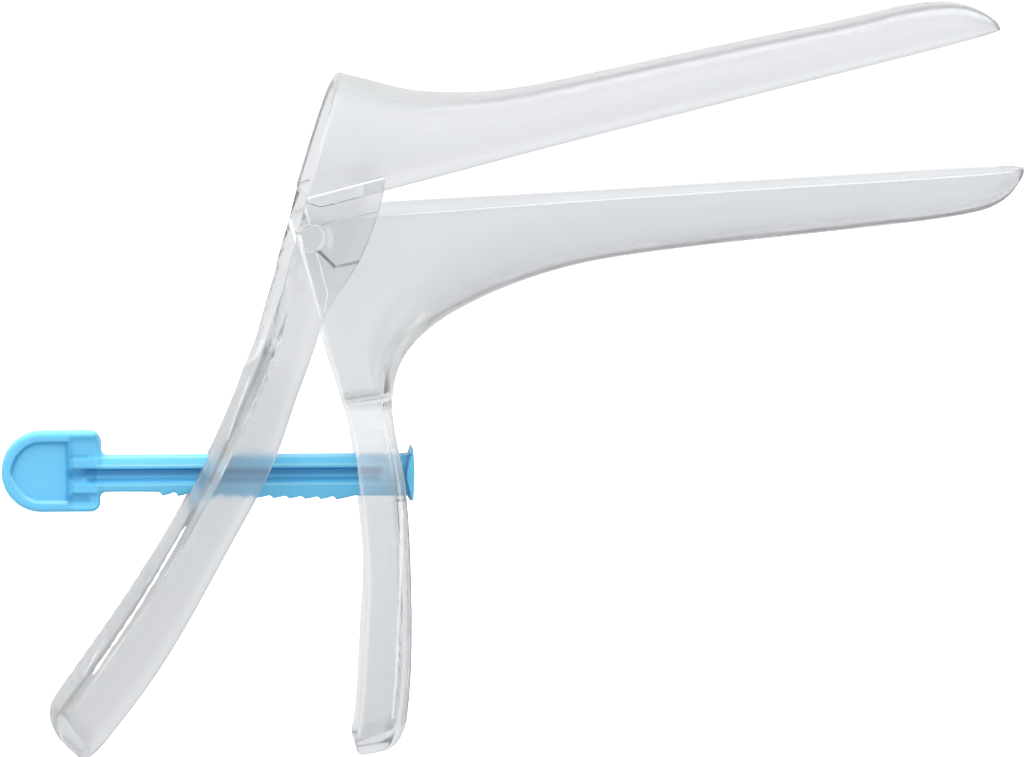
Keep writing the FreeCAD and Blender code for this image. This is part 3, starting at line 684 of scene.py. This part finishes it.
def make_bar():
    loop = bar_outline()
    loop = [tuple(c) for c in loop]
    lp = np.array(loop)
    dense = []
    for a, b in zip(lp, np.roll(lp, -1, axis=0)):
        n = max(1, int(math.ceil(np.hypot(*(b - a)) / 0.45)))
        for k in range(n):
            dense.append(tuple(a + (b - a) * k / n))
    loop = dense
    nb = len(loop)
    xs = [np.arange(-53.35, -35.4, 0.25), np.arange(-35.4, 16.9, 0.55), np.arange(16.95, 18.8, 0.14)]
    grid = []
    for i, gx in enumerate(xs):
        gz = np.arange(-49.0, -34.9, 0.25 if i != 1 else 0.2)
        a, b = np.meshgrid(gx, gz)
        grid.append(np.stack([a.ravel(), b.ravel()], 1))
    grid = np.concatenate(grid)
    grid = grid[inside(grid, loop)]
    d = seg_dist(grid, loop)
    grid = grid[d > 0.42]
    # rows that follow the edge, for its rounding
    la = np.array(loop)
    nxt, prv = np.roll(la, -1, axis=0), np.roll(la, 1, axis=0)
    tan = nxt - prv
    tan /= np.hypot(*tan.T)[:, None]
    nor = np.stack([-tan[:, 1], tan[:, 0]], 1)
    rows = []
    for off in (0.07, 0.2, 0.36):
        c = la + nor * off
        if not inside(c, loop).mean() > 0.5:
            c = la - nor * off
        keep = inside(c, loop) & (seg_dist(c, loop) > off * 0.8)
        rows.append(c[keep])
    pts = np.concatenate([la] + rows + [grid])
    edges = [(i, (i + 1) % nb) for i in range(nb)]
    v2, _, f2, ov, _, _ = delaunay_2d_cdt([Vector(map(float, c)) for c in pts], edges, [], 1, 1e-5)
    v2 = np.array([(c.x, c.y) for c in v2])
    h = bar_height(v2, loop)
    cnt = {}
    for f in f2:
        for a, b in zip(f, list(f[1:]) + [f[0]]):
            cnt[(a, b)] = cnt.get((a, b), 0) + 1
    border = [(a, b) for (a, b) in cnt if (b, a) not in cnt]
    n = len(v2)
    verts = np.concatenate(
        [np.stack([v2[:, 0], -h, v2[:, 1]], 1), np.stack([v2[:, 0], h, v2[:, 1]], 1)]
    ) * MM
    faces = [tuple(f) for f in f2] + [tuple(n + i for i in reversed(f)) for f in f2]
    for a, b in border:
        faces.append((b, a, n + a, n + b))
    return make("ratchet_bar_body", verts, faces)


bar = make_bar()
finish_mesh(bar, 32)


# -------------------------------------------------------------- materials
def nodes_of(name):
    m = bpy.data.materials.new(name)
    m.use_nodes = True
    nt = m.node_tree
    nt.nodes.clear()
    out = nt.nodes.new("ShaderNodeOutputMaterial")
    return m, nt, out


def link(nt, a, b):
    nt.links.new(a, b)


def noise(nt, vec, scale, detail=3.0, rough=0.5):
    n = nt.nodes.new("ShaderNodeTexNoise")
    n.inputs["Scale"].default_value = scale
    n.inputs["Detail"].default_value = detail
    n.inputs["Roughness"].default_value = rough
    link(nt, vec, n.inputs["Vector"])
    return n.outputs["Fac"]


def remap(nt, val, a, b, c, d):
    n = nt.nodes.new("ShaderNodeMapRange")
    n.inputs["From Min"].default_value = a
    n.inputs["From Max"].default_value = b
    n.inputs["To Min"].default_value = c
    n.inputs["To Max"].default_value = d
    link(nt, val, n.inputs["Value"])
    return n.outputs["Result"]


def math_node(nt, op, a, b=None, clamp=False):
    n = nt.nodes.new("ShaderNodeMath")
    n.operation = op
    n.use_clamp = clamp
    for i, v in enumerate((a, b)):
        if v is None:
            continue
        if isinstance(v, (int, float)):
            n.inputs[i].default_value = v
        else:
            link(nt, v, n.inputs[i])
    return n.outputs[0]


def vec_node(nt, op, a, b=None, scale=None):
    n = nt.nodes.new("ShaderNodeVectorMath")
    n.operation = op
    for i, v in enumerate((a, b)):
        if v is None:
            continue
        if isinstance(v, tuple):
            n.inputs[i].default_value = v
        else:
            link(nt, v, n.inputs[i])
    if scale is not None:
        if isinstance(scale, (int, float)):
            n.inputs["Scale"].default_value = scale
        else:
            link(nt, scale, n.inputs["Scale"])
    return n


def near_line(nt, side, pts, half, soft, wobble=None, y=None, absy=None):
    """1 within half mm of a side-view line of the mould, 0 beyond soft more.
    y: from this to that distance off the middle plane it fades in."""
    best = None
    for a, b in zip(pts[:-1], pts[1:]):
        va, vb = (a[0], 0.0, a[1]), (b[0] - a[0], 0.0, b[1] - a[1])
        rel = vec_node(nt, "SUBTRACT", side, va).outputs[0]
        t = vec_node(nt, "DOT_PRODUCT", rel, vb).outputs["Value"]
        t = math_node(nt, "MULTIPLY", t, 1.0 / (vb[0] ** 2 + vb[2] ** 2), clamp=True)
        step = nt.nodes.new("ShaderNodeVectorMath")
        step.operation = "SCALE"
        step.inputs[0].default_value = vb
        link(nt, t, step.inputs["Scale"])
        off = vec_node(nt, "SUBTRACT", rel, step.outputs[0]).outputs[0]
        d = vec_node(nt, "LENGTH", off).outputs["Value"]
        best = d if best is None else math_node(nt, "MINIMUM", best, d)
    if wobble is not None:
        best = math_node(nt, "ADD", best, wobble)
    m = nt.nodes.new("ShaderNodeMapRange")
    m.interpolation_type = "SMOOTHSTEP"
    m.inputs["From Min"].default_value = half + soft
    m.inputs["From Max"].default_value = half
    link(nt, best, m.inputs["Value"])
    out = m.outputs["Result"]
    if y is not None:
        out = math_node(nt, "MULTIPLY", out, remap(nt, absy, y[0], y[1], 0.0, 1.0))
    return out


def clear_plastic(name, tint, rough, zone, bump, milk, absorb, painted_highlights, painted_shade, veil, shade, ior=1.5):
    """Moulded clear plastic: it transmits, absorbs a little along thick
    paths, has slow variations of its frosting and a fine mould texture.
    rough: two pairs, for the parts above and below the heights in zone.
    highlight and shade lists: side-view lines along the moulding's edges, the first
    painted in as highlights that whiten and emit, the second as painted shade that
    greys: points, half width, softness, strength, y range, waviness.
    veil: heights in mm between which the plastic grows milky and emits a little (painted brightness), and how much.
    shade: heights between which it grows greyer, and how much."""
    m, nt, out = nodes_of(name)
    p = nt.nodes.new("ShaderNodeBsdfPrincipled")
    link(nt, p.outputs["BSDF"], out.inputs["Surface"])
    tc = nt.nodes.new("ShaderNodeTexCoord")
    ob = tc.outputs["Object"]
    sep = nt.nodes.new("ShaderNodeSeparateXYZ")
    link(nt, ob, sep.inputs[0])
    absy = math_node(nt, "ABSOLUTE", math_node(nt, "MULTIPLY", sep.outputs["Y"], 1000.0))
    zmm = math_node(nt, "MULTIPLY", sep.outputs["Z"], 1000.0)
    side = vec_node(nt, "MULTIPLY", ob, (1000.0, 0.0, 1000.0)).outputs[0]
    slow = noise(nt, ob, 45.0, 2.0, 0.5)
    fines = noise(nt, ob, 900.0, 3.0, 0.6)
    grain = noise(nt, ob, 3200.0, 2.0, 0.5)
    wavy = remap(nt, noise(nt, ob, 620.0, 3.0, 0.6), 0.3, 0.7, -0.5, 0.5)
    mix = nt.nodes.new("ShaderNodeMath")
    mix.operation = "MULTIPLY_ADD"
    link(nt, fines, mix.inputs[0])
    mix.inputs[1].default_value = 0.5
    link(nt, remap(nt, slow, 0.3, 0.7, -0.25, 0.75), mix.inputs[2])
    hi = remap(nt, mix.outputs[0], 0.0, 1.0, *rough[0])
    lo = remap(nt, mix.outputs[0], 0.0, 1.0, *rough[1])
    where = remap(nt, sep.outputs["Z"], zone[1], zone[0], 0.0, 1.0)
    lerp = nt.nodes.new("ShaderNodeMix")
    lerp.data_type = "FLOAT"
    link(nt, where, lerp.inputs["Factor"])
    link(nt, lo, lerp.inputs[2])
    link(nt, hi, lerp.inputs[3])
    link(nt, lerp.outputs[0], p.inputs["Roughness"])
    ramp = nt.nodes.new("ShaderNodeValToRGB")
    ramp.color_ramp.elements[0].position = 0.3
    ramp.color_ramp.elements[1].position = 0.75
    ramp.color_ramp.elements[0].color = (*[c * 0.985 for c in tint], 1)
    ramp.color_ramp.elements[1].color = (*tint, 1)
    link(nt, slow, ramp.inputs["Fac"])

    def paint_lines(lines):
        total = None
        for pts, half, soft, strength, y, wave in lines:
            wob = math_node(nt, "MULTIPLY", wavy, wave) if wave else None
            f = math_node(nt, "MULTIPLY", near_line(nt, side, pts, half, soft, wob, y, absy), strength)
            total = f if total is None else math_node(nt, "MAXIMUM", total, f)
        return total

    # painted highlights: along these lines the colour is whitened and the plastic glows
    painted_glow = paint_lines(painted_highlights)
    # painted shade: along these lines the colour is greyed
    painted_shade_mask = paint_lines(painted_shade)
    # painted shade: the colour greys between the heights given in shade
    painted_shade_by_height = remap(nt, zmm, shade[0], shade[1], 0.0, shade[2])
    c1 = nt.nodes.new("ShaderNodeMix")
    c1.data_type = "RGBA"
    link(nt, math_node(nt, "MAXIMUM", painted_shade_mask, painted_shade_by_height), c1.inputs["Factor"])
    link(nt, ramp.outputs["Color"], c1.inputs["A"])
    # the grey of the painted shade
    c1.inputs["B"].default_value = (0.50, 0.50, 0.51, 1)
    c2 = nt.nodes.new("ShaderNodeMix")
    c2.data_type = "RGBA"
    link(nt, painted_glow, c2.inputs["Factor"])
    link(nt, c1.outputs["Result"], c2.inputs["A"])
    # the warm white of the painted highlights
    c2.inputs["B"].default_value = (1.0, 0.99, 0.965, 1)
    link(nt, c2.outputs["Result"], p.inputs["Base Color"])
    milky_glowing_zone = math_node(
        nt, "MULTIPLY", remap(nt, zmm, veil[0], veil[1], 0.0, veil[2]), remap(nt, zmm, veil[1] + 1.6, veil[1] + 0.4, 0.0, 1.0)
    )
    # the milky zone and the painted highlight lines transmit less and also emit: a painted glow
    milk_and_painted_glow = math_node(nt, "MAXIMUM", painted_glow, milky_glowing_zone)
    link(nt, remap(nt, milk_and_painted_glow, 0.0, 1.0, 1.0 - milk, 0.1), p.inputs["Transmission Weight"])
    p.inputs["Emission Color"].default_value = (1.0, 0.99, 0.97, 1)
    link(nt, math_node(nt, "MULTIPLY", milk_and_painted_glow, 0.35), p.inputs["Emission Strength"])
    b = nt.nodes.new("ShaderNodeBump")
    b.inputs["Strength"].default_value = bump
    b.inputs["Distance"].default_value = 0.0002
    link(nt, grain, b.inputs["Height"])
    link(nt, b.outputs["Normal"], p.inputs["Normal"])
    p.inputs["IOR"].default_value = ior
    if absorb:
        v = nt.nodes.new("ShaderNodeVolumeAbsorption")
        v.inputs["Color"].default_value = (0.50, 0.53, 0.56, 1)
        v.inputs["Density"].default_value = absorb
        link(nt, v.outputs["Volume"], out.inputs["Volume"])
    return m


RECESS = [
    (-41.95, -36.75), (-47.6, -36.8), (-49.2, -37.6), (-50.8, -39.3), (-51.6, -41.0), (-51.7, -42.0),
    (-51.6, -43.0), (-50.8, -44.7), (-49.2, -46.4), (-47.6, -47.2), (-41.95, -47.25), (-41.95, -36.75),
]


def blue_plastic(name):
    m, nt, out = nodes_of(name)
    p = nt.nodes.new("ShaderNodeBsdfPrincipled")
    link(nt, p.outputs["BSDF"], out.inputs["Surface"])
    tc = nt.nodes.new("ShaderNodeTexCoord")
    ob = tc.outputs["Object"]
    slow = noise(nt, ob, 60.0, 3.0, 0.5)
    fines = noise(nt, ob, 1500.0, 3.0, 0.55)
    ramp = nt.nodes.new("ShaderNodeValToRGB")
    ramp.color_ramp.elements[0].position = 0.3
    ramp.color_ramp.elements[1].position = 0.7
    ramp.color_ramp.elements[0].color = (0.14, 0.565, 0.87, 1)
    ramp.color_ramp.elements[1].color = (0.16, 0.60, 0.91, 1)
    link(nt, slow, ramp.inputs["Fac"])
    # painted shade: the colour darkens where the bar's own surfaces close in, in the groove, the recess and under
    # the ribs
    ao = nt.nodes.new("ShaderNodeAmbientOcclusion")
    ao.inputs["Distance"].default_value = 0.0026
    ao.samples = 6
    ao.only_local = True
    painted_shade = nt.nodes.new("ShaderNodeMix")
    painted_shade.data_type = "RGBA"
    painted_shade.inputs["A"].default_value = (0.02, 0.27, 0.55, 1)
    link(nt, remap(nt, ao.outputs["AO"], 0.35, 0.85, 0.0, 1.0), painted_shade.inputs["Factor"])
    link(nt, ramp.outputs["Color"], painted_shade.inputs["B"])
    sep = nt.nodes.new("ShaderNodeSeparateXYZ")
    link(nt, ob, sep.inputs[0])
    absy = math_node(nt, "ABSOLUTE", math_node(nt, "MULTIPLY", sep.outputs["Y"], 1000.0))
    side = vec_node(nt, "MULTIPLY", ob, (1000.0, 0.0, 1000.0)).outputs[0]
    tone_with_painted_light = painted_shade.outputs["Result"]
    # painted shade lines (dark blue) in the groove, along the recess's upper and right edges and by the rib ends;
    # painted highlight lines (light blue) along the rib edges, the top edge and the recess's lower edge
    for pts, half, soft, strength, y, colour in (
        ([(-39.2, -42.05), (12.6, -42.05)], 0.25, 0.75, 0.75, (1.0, 1.2), (0.012, 0.21, 0.50, 1)),
        ([(-41.6, -41.9), (-40.0, -42.1)], 0.2, 0.8, 0.5, (1.0, 1.2), (0.012, 0.21, 0.50, 1)),
        ([(-36.4, -40.85), (16.6, -40.85)], 0.05, 0.18, 0.5, (1.9, 2.2), (0.42, 0.82, 0.98, 1)),
        ([(-36.4, -44.35), (16.6, -44.35)], 0.05, 0.18, 0.45, (1.9, 2.2), (0.42, 0.82, 0.98, 1)),
        ([(-36.2, -39.5), (16.6, -39.5)], 0.04, 0.14, 0.35, (1.0, 1.4), (0.42, 0.82, 0.98, 1)),
        (RECESS[:6], 0.12, 0.35, 0.55, (2.0, 2.2), (0.02, 0.26, 0.56, 1)),
        (RECESS[-2:], 0.12, 0.3, 0.5, (2.0, 2.2), (0.02, 0.26, 0.56, 1)),
        (RECESS[6:-1], 0.06, 0.3, 0.5, (2.0, 2.2), (0.42, 0.82, 0.98, 1)),
        ([(-41.2, -42.6), (-39.6, -42.6)], 0.3, 0.8, 0.6, (1.0, 1.2), (0.012, 0.21, 0.50, 1)),
        ([(-41.3, -46.5), (-38.6, -46.6)], 0.2, 0.8, 0.5, (1.0, 1.2), (0.02, 0.26, 0.56, 1)),
        ([(-41.3, -39.3), (-38.6, -39.2)], 0.1, 0.5, 0.3, (1.0, 1.2), (0.02, 0.26, 0.56, 1)),
    ):
        mx = nt.nodes.new("ShaderNodeMix")
        mx.data_type = "RGBA"
        link(nt, math_node(nt, "MULTIPLY", near_line(nt, side, pts, half, soft, None, y, absy), strength), mx.inputs["Factor"])
        link(nt, tone_with_painted_light, mx.inputs["A"])
        mx.inputs["B"].default_value = colour
        tone_with_painted_light = mx.outputs["Result"]
    link(nt, tone_with_painted_light, p.inputs["Base Color"])
    link(nt, remap(nt, fines, 0.3, 0.7, 0.28, 0.38), p.inputs["Roughness"])
    b = nt.nodes.new("ShaderNodeBump")
    b.inputs["Strength"].default_value = 0.12
    b.inputs["Distance"].default_value = 0.0002
    link(nt, fines, b.inputs["Height"])
    link(nt, b.outputs["Normal"], p.inputs["Normal"])
    p.inputs["Subsurface Weight"].default_value = 0.06
    p.inputs["Subsurface Radius"].default_value = (0.0012, 0.0022, 0.003)
    p.inputs["Subsurface Scale"].default_value = 1.0
    p.inputs["IOR"].default_value = 1.5
    return m


def inside_line(rows, depth, first, last):
    """The side-view line that lies depth mm under the crown of some rows."""
    return [
        (r[0] - math.sin(math.radians(r[2])) * depth, r[1] + math.cos(math.radians(r[2])) * depth)
        for r in rows[first : last + 1]
    ]


PIN_RING = [(2.42 * math.cos(math.radians(a)), 2.42 * math.sin(math.radians(a))) for a in range(22, 383, 45)]
EAR_FRONT = [(12.45, 8.6), (11.45, 4.4), (10.05, 0.4), (8.45, -3.4), (5.75, -7.8), (3.25, -11.4), (1.8, -14.9)]
clear = clear_plastic(
    "clear_plastic",
    (0.988, 0.993, 0.997),
    ((0.10, 0.18), (0.09, 0.17)),
    (-0.02, -0.035),
    0.08,
    0.09,
    6.0,
    # painted highlights along the mouth and rear edges, the funnel, the handle's front and the rim
    painted_highlights=[
        ([(-2.2, 0.4), (-1.85, -1.2), (-0.2, -7.4), (1.65, -14.1)], 0.30, 0.3, 0.5, None, 0.2),
        ([(1.65, -14.1), (4.5, -24.3), (7.3, -33.5), (8.4, -38.5)], 0.26, 0.3, 0.34, None, 0.2),
        ([(8.4, -38.5), (9.9, -53.5), (10.35, -61.0), (9.5, -77.0), (8.6, -88.0)], 0.3, 0.5, 0.18, None, 0.3),
        ([(12.9, -32.4), (14.7, -38.3), (15.4, -42.5), (16.2, -48.4), (16.0, -58.0), (15.1, -78.3), (14.5, -84.8)], 0.12, 0.26, 0.3, (8.0, 8.6), 0.25),
        ([(19.5, -13.5), (16.0, -20.0), (14.3, -25.5), (14.0, -30.5)], 0.3, 0.7, 0.2, (5.0, 8.0), 0.2),
        ([(1.8, 3.05), (60.0, 6.55), (123.0, 10.3)], 0.08, 0.12, 0.3, None, 0.0),
    ],
    # painted shade along the floor web's edge and beside the rim's painted highlight
    painted_shade=[
        ([(6.6, -29.75), (13.6, -28.4)], 0.10, 0.14, 0.5, (8.0, 8.4), 0.1),
        ([(1.8, 3.3), (60.0, 6.8), (123.0, 10.55)], 0.03, 0.12, 0.45, None, 0.0),
    ],
    veil=(-48.0, -31.5, 0.26),
    shade=(-55.0, -86.0, 0.09),
)
frost = clear_plastic(
    "frosted_plastic",
    (0.984, 0.987, 0.990),
    ((0.12, 0.20), (0.16, 0.27)),
    (-0.005, -0.03),
    0.12,
    0.10,
    6.0,
    # painted highlights along the ears' edges, round the pins, along the arms and the lever's edges and the blade's
    # rear
    painted_highlights=[
        ([(-1.1, 6.75), (12.7, 10.35)], 0.10, 0.16, 0.36, (22.9, 23.2), 0.0),
        ([(-1.45, 6.85), (-0.26, 2.2)], 0.08, 0.14, 0.28, (22.9, 23.2), 0.1),
        (PIN_RING, 0.05, 0.16, 0.24, (22.9, 23.2), 0.1),
        ([(3.0, 1.5), (3.3, 0.0), (3.0, -1.5)], 0.05, 0.8, 0.2, (22.9, 23.2), 0.2),
        ([(-1.8, -1.4), (-0.15, -7.4), (1.45, -13.5)], 0.10, 0.2, 0.3, (22.3, 22.6), 0.2),
        ([(0.9, -2.6), (2.7, -9.4), (2.2, -12.6)], 0.05, 0.13, 0.3, (22.3, 22.6), 0.12),
        (inside_line(LEVER, 2.6, 8, 18), 0.3, 0.7, 0.16, (8.5, 9.8), 0.3),
        ([(-21.6, -50.8), (-26.8, -59.8), (-31.0, -66.5), (-37.6, -76.2)], 0.10, 0.18, 0.85, (9.0, 9.8), 0.24),
        ([(-23.9, -50.2), (-29.6, -60.3), (-39.2, -76.6)], 0.03, 0.14, 0.3, (7.0, 9.0), 0.2),
        ([(-5.6, -7.8), (-7.3, -15.0)], 0.12, 0.3, 0.7, (12.0, 15.0), 0.5),
        ([(-10.4, -24.9), (-12.5, -30.6), (-14.2, -35.6)], 0.03, 0.12, 0.3, (9.0, 9.8), 0.2),
        ([(-0.75, 7.8), (5.2, 27.7)], 0.3, 0.5, 0.12, None, 0.1),
    ],
    # painted shade along the lever's edge and on the ears' lead-in lines
    painted_shade=[
        ([(-14.4, -37.1), (-17.0, -42.6), (-21.2, -50.5)], 0.10, 0.2, 0.5, (9.0, 9.8), 0.3),
        ([(1.7, 2.25), (11.1, 4.5)], 0.05, 0.12, 0.8, (22.3, 22.6), 0.0),
        (EAR_FRONT, 0.05, 0.12, 0.6, (22.3, 22.6), 0.0),
    ],
    veil=(-200.0, -190.0, 0.0),
    shade=(-20.0, -40.0, 0.05),
)
blue = blue_plastic("blue_plastic")
lower.data.materials.clear()
lower.data.materials.append(clear)
upper.data.materials.clear()
upper.data.materials.append(frost)
bar.data.materials.clear()
bar.data.materials.append(blue)

for ob, body, node, slot_name in (
    (lower, "lower", "lower_valve", "clear_plastic"),
    (upper, "upper", "upper_valve", "frosted_plastic"),
    (bar, "bar", "ratchet_bar", "blue_plastic"),
):
    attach(ob, body)
    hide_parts(node)

# ------------------------------------------------------------------ stage
FLOOR = -0.0925
rings = [(0.0, 0.0), (0.8, 0.0), (2.5, 0.0), (5.5, 0.0)]
for k in range(1, 13):
    a = math.radians(90 * k / 12)
    rings.append((5.5 + 2.0 * math.sin(a), 2.0 - 2.0 * math.cos(a)))
rings.append((7.5, 6.0))
n = 64
verts, faces = [(0.0, 0.0, FLOOR)], []
for r, z in rings[1:]:
    verts += [(r * math.cos(2 * math.pi * i / n), r * math.sin(2 * math.pi * i / n), FLOOR + z) for i in range(n)]
faces += [(0, 1 + i, 1 + (i + 1) % n) for i in range(n)]
for k in range(len(rings) - 2):
    a0, b0 = 1 + k * n, 1 + (k + 1) * n
    faces += [(a0 + i, b0 + i, b0 + (i + 1) % n, a0 + (i + 1) % n) for i in range(n)]
me = bpy.data.meshes.new("backdrop")
me.from_pydata(verts, [], faces)
me.shade_smooth()
back = bpy.data.objects.new("backdrop", me)
bpy.context.scene.collection.objects.link(back)
m, nt, out = nodes_of("paper")
d = nt.nodes.new("ShaderNodeBsdfPrincipled")
d.inputs["Base Color"].default_value = (0.75, 0.75, 0.755, 1)
d.inputs["Roughness"].default_value = 0.9
d.inputs["Emission Color"].default_value = (1, 1, 1, 1)
d.inputs["Emission Strength"].default_value = 0.85
link(nt, d.outputs["BSDF"], out.inputs["Surface"])
me.materials.append(m)
# the sheet is lit brighter than the room that the plastic is seen against
back.visible_transmission = False
back.visible_diffuse = False
back.visible_glossy = False


def area(name, loc, target, size, power, size_y=None):
    li = bpy.data.lights.new(name, "AREA")
    li.energy = power
    li.size = size
    if size_y:
        li.shape = "RECTANGLE"
        li.size_y = size_y
    ob = bpy.data.objects.new(name, li)
    ob.location = loc
    ob.rotation_euler = (Vector(target) - Vector(loc)).to_track_quat("-Z", "Y").to_euler()
    bpy.context.scene.collection.objects.link(ob)
    return ob


key = area("key", (-0.5, -0.75, 1.5), (0.03, 0, 0), 0.9, 9.0)
fill = area("fill", (-0.3, -1.5, 0.5), (0.03, 0, 0), 1.2, 2.5)
top = area("top", (0.0, 0.3, 1.6), (0.03, 0.25, 0), 1.2, 17.0)
for li in (key, fill, top):
    # soft boxes outside the plastic's reflections
    li.visible_glossy = False
    li.visible_transmission = False

# the studio around: light above, softer at the sides, darker below and
# behind the camera
world = bpy.data.worlds.new("studio")
world.use_nodes = True
wt = world.node_tree
bg = wt.nodes["Background"]
wc = wt.nodes.new("ShaderNodeTexCoord")
ws = wt.nodes.new("ShaderNodeSeparateXYZ")
link(wt, wc.outputs["Generated"], ws.inputs[0])
level = remap(wt, ws.outputs["Z"], -1.0, 1.0, 0.0, 1.0)
sky = wt.nodes.new("ShaderNodeValToRGB")
cr = sky.color_ramp
for pos, val in ((-1.0, 0.84), (-0.4, 0.86), (-0.15, 0.87), (-0.03, 1.0), (0.3, 1.02), (1.0, 1.3)):
    e = cr.elements.new((pos + 1) / 2) if 0 < (pos + 1) / 2 < 1 else cr.elements[0 if pos < 0 else -1]
    e.color = (val / 1.5, val / 1.5, val / 1.5, 1)
link(wt, level, sky.inputs["Fac"])
up_down = math_node(wt, "MULTIPLY", sky.outputs["Color"], 1.5)
front = remap(wt, ws.outputs["Y"], -0.9, 0.3, 0.9, 1.0)
mul = wt.nodes.new("ShaderNodeMath")
mul.operation = "MULTIPLY"
link(wt, up_down, mul.inputs[0])
link(wt, front, mul.inputs[1])
link(wt, mul.outputs[0], bg.inputs["Strength"])
bg.inputs["Color"].default_value = (0.965, 0.98, 1.0, 1)
bpy.context.scene.world = world
bpy.context.scene.view_settings.view_transform = "Standard"

# ----------------------------------------------------------------- camera
cam = bpy.data.cameras.new("photo")
cam.sensor_width = 36.0
cam.lens = 6285.7 / 1024.0 * 36.0
cam.clip_end = 20.0
co = bpy.data.objects.new("photo", cam)
az, el = math.radians(4.0), math.radians(4.7)
fw = Vector((math.sin(az) * math.cos(el), math.cos(az) * math.cos(el), -math.sin(el)))
co.location = Vector((-40.721, -1098.121, 64.281)) * MM
co.rotation_euler = fw.to_track_quat("-Z", "Y").to_euler()
bpy.context.scene.collection.objects.link(co)
bpy.context.scene.camera = co
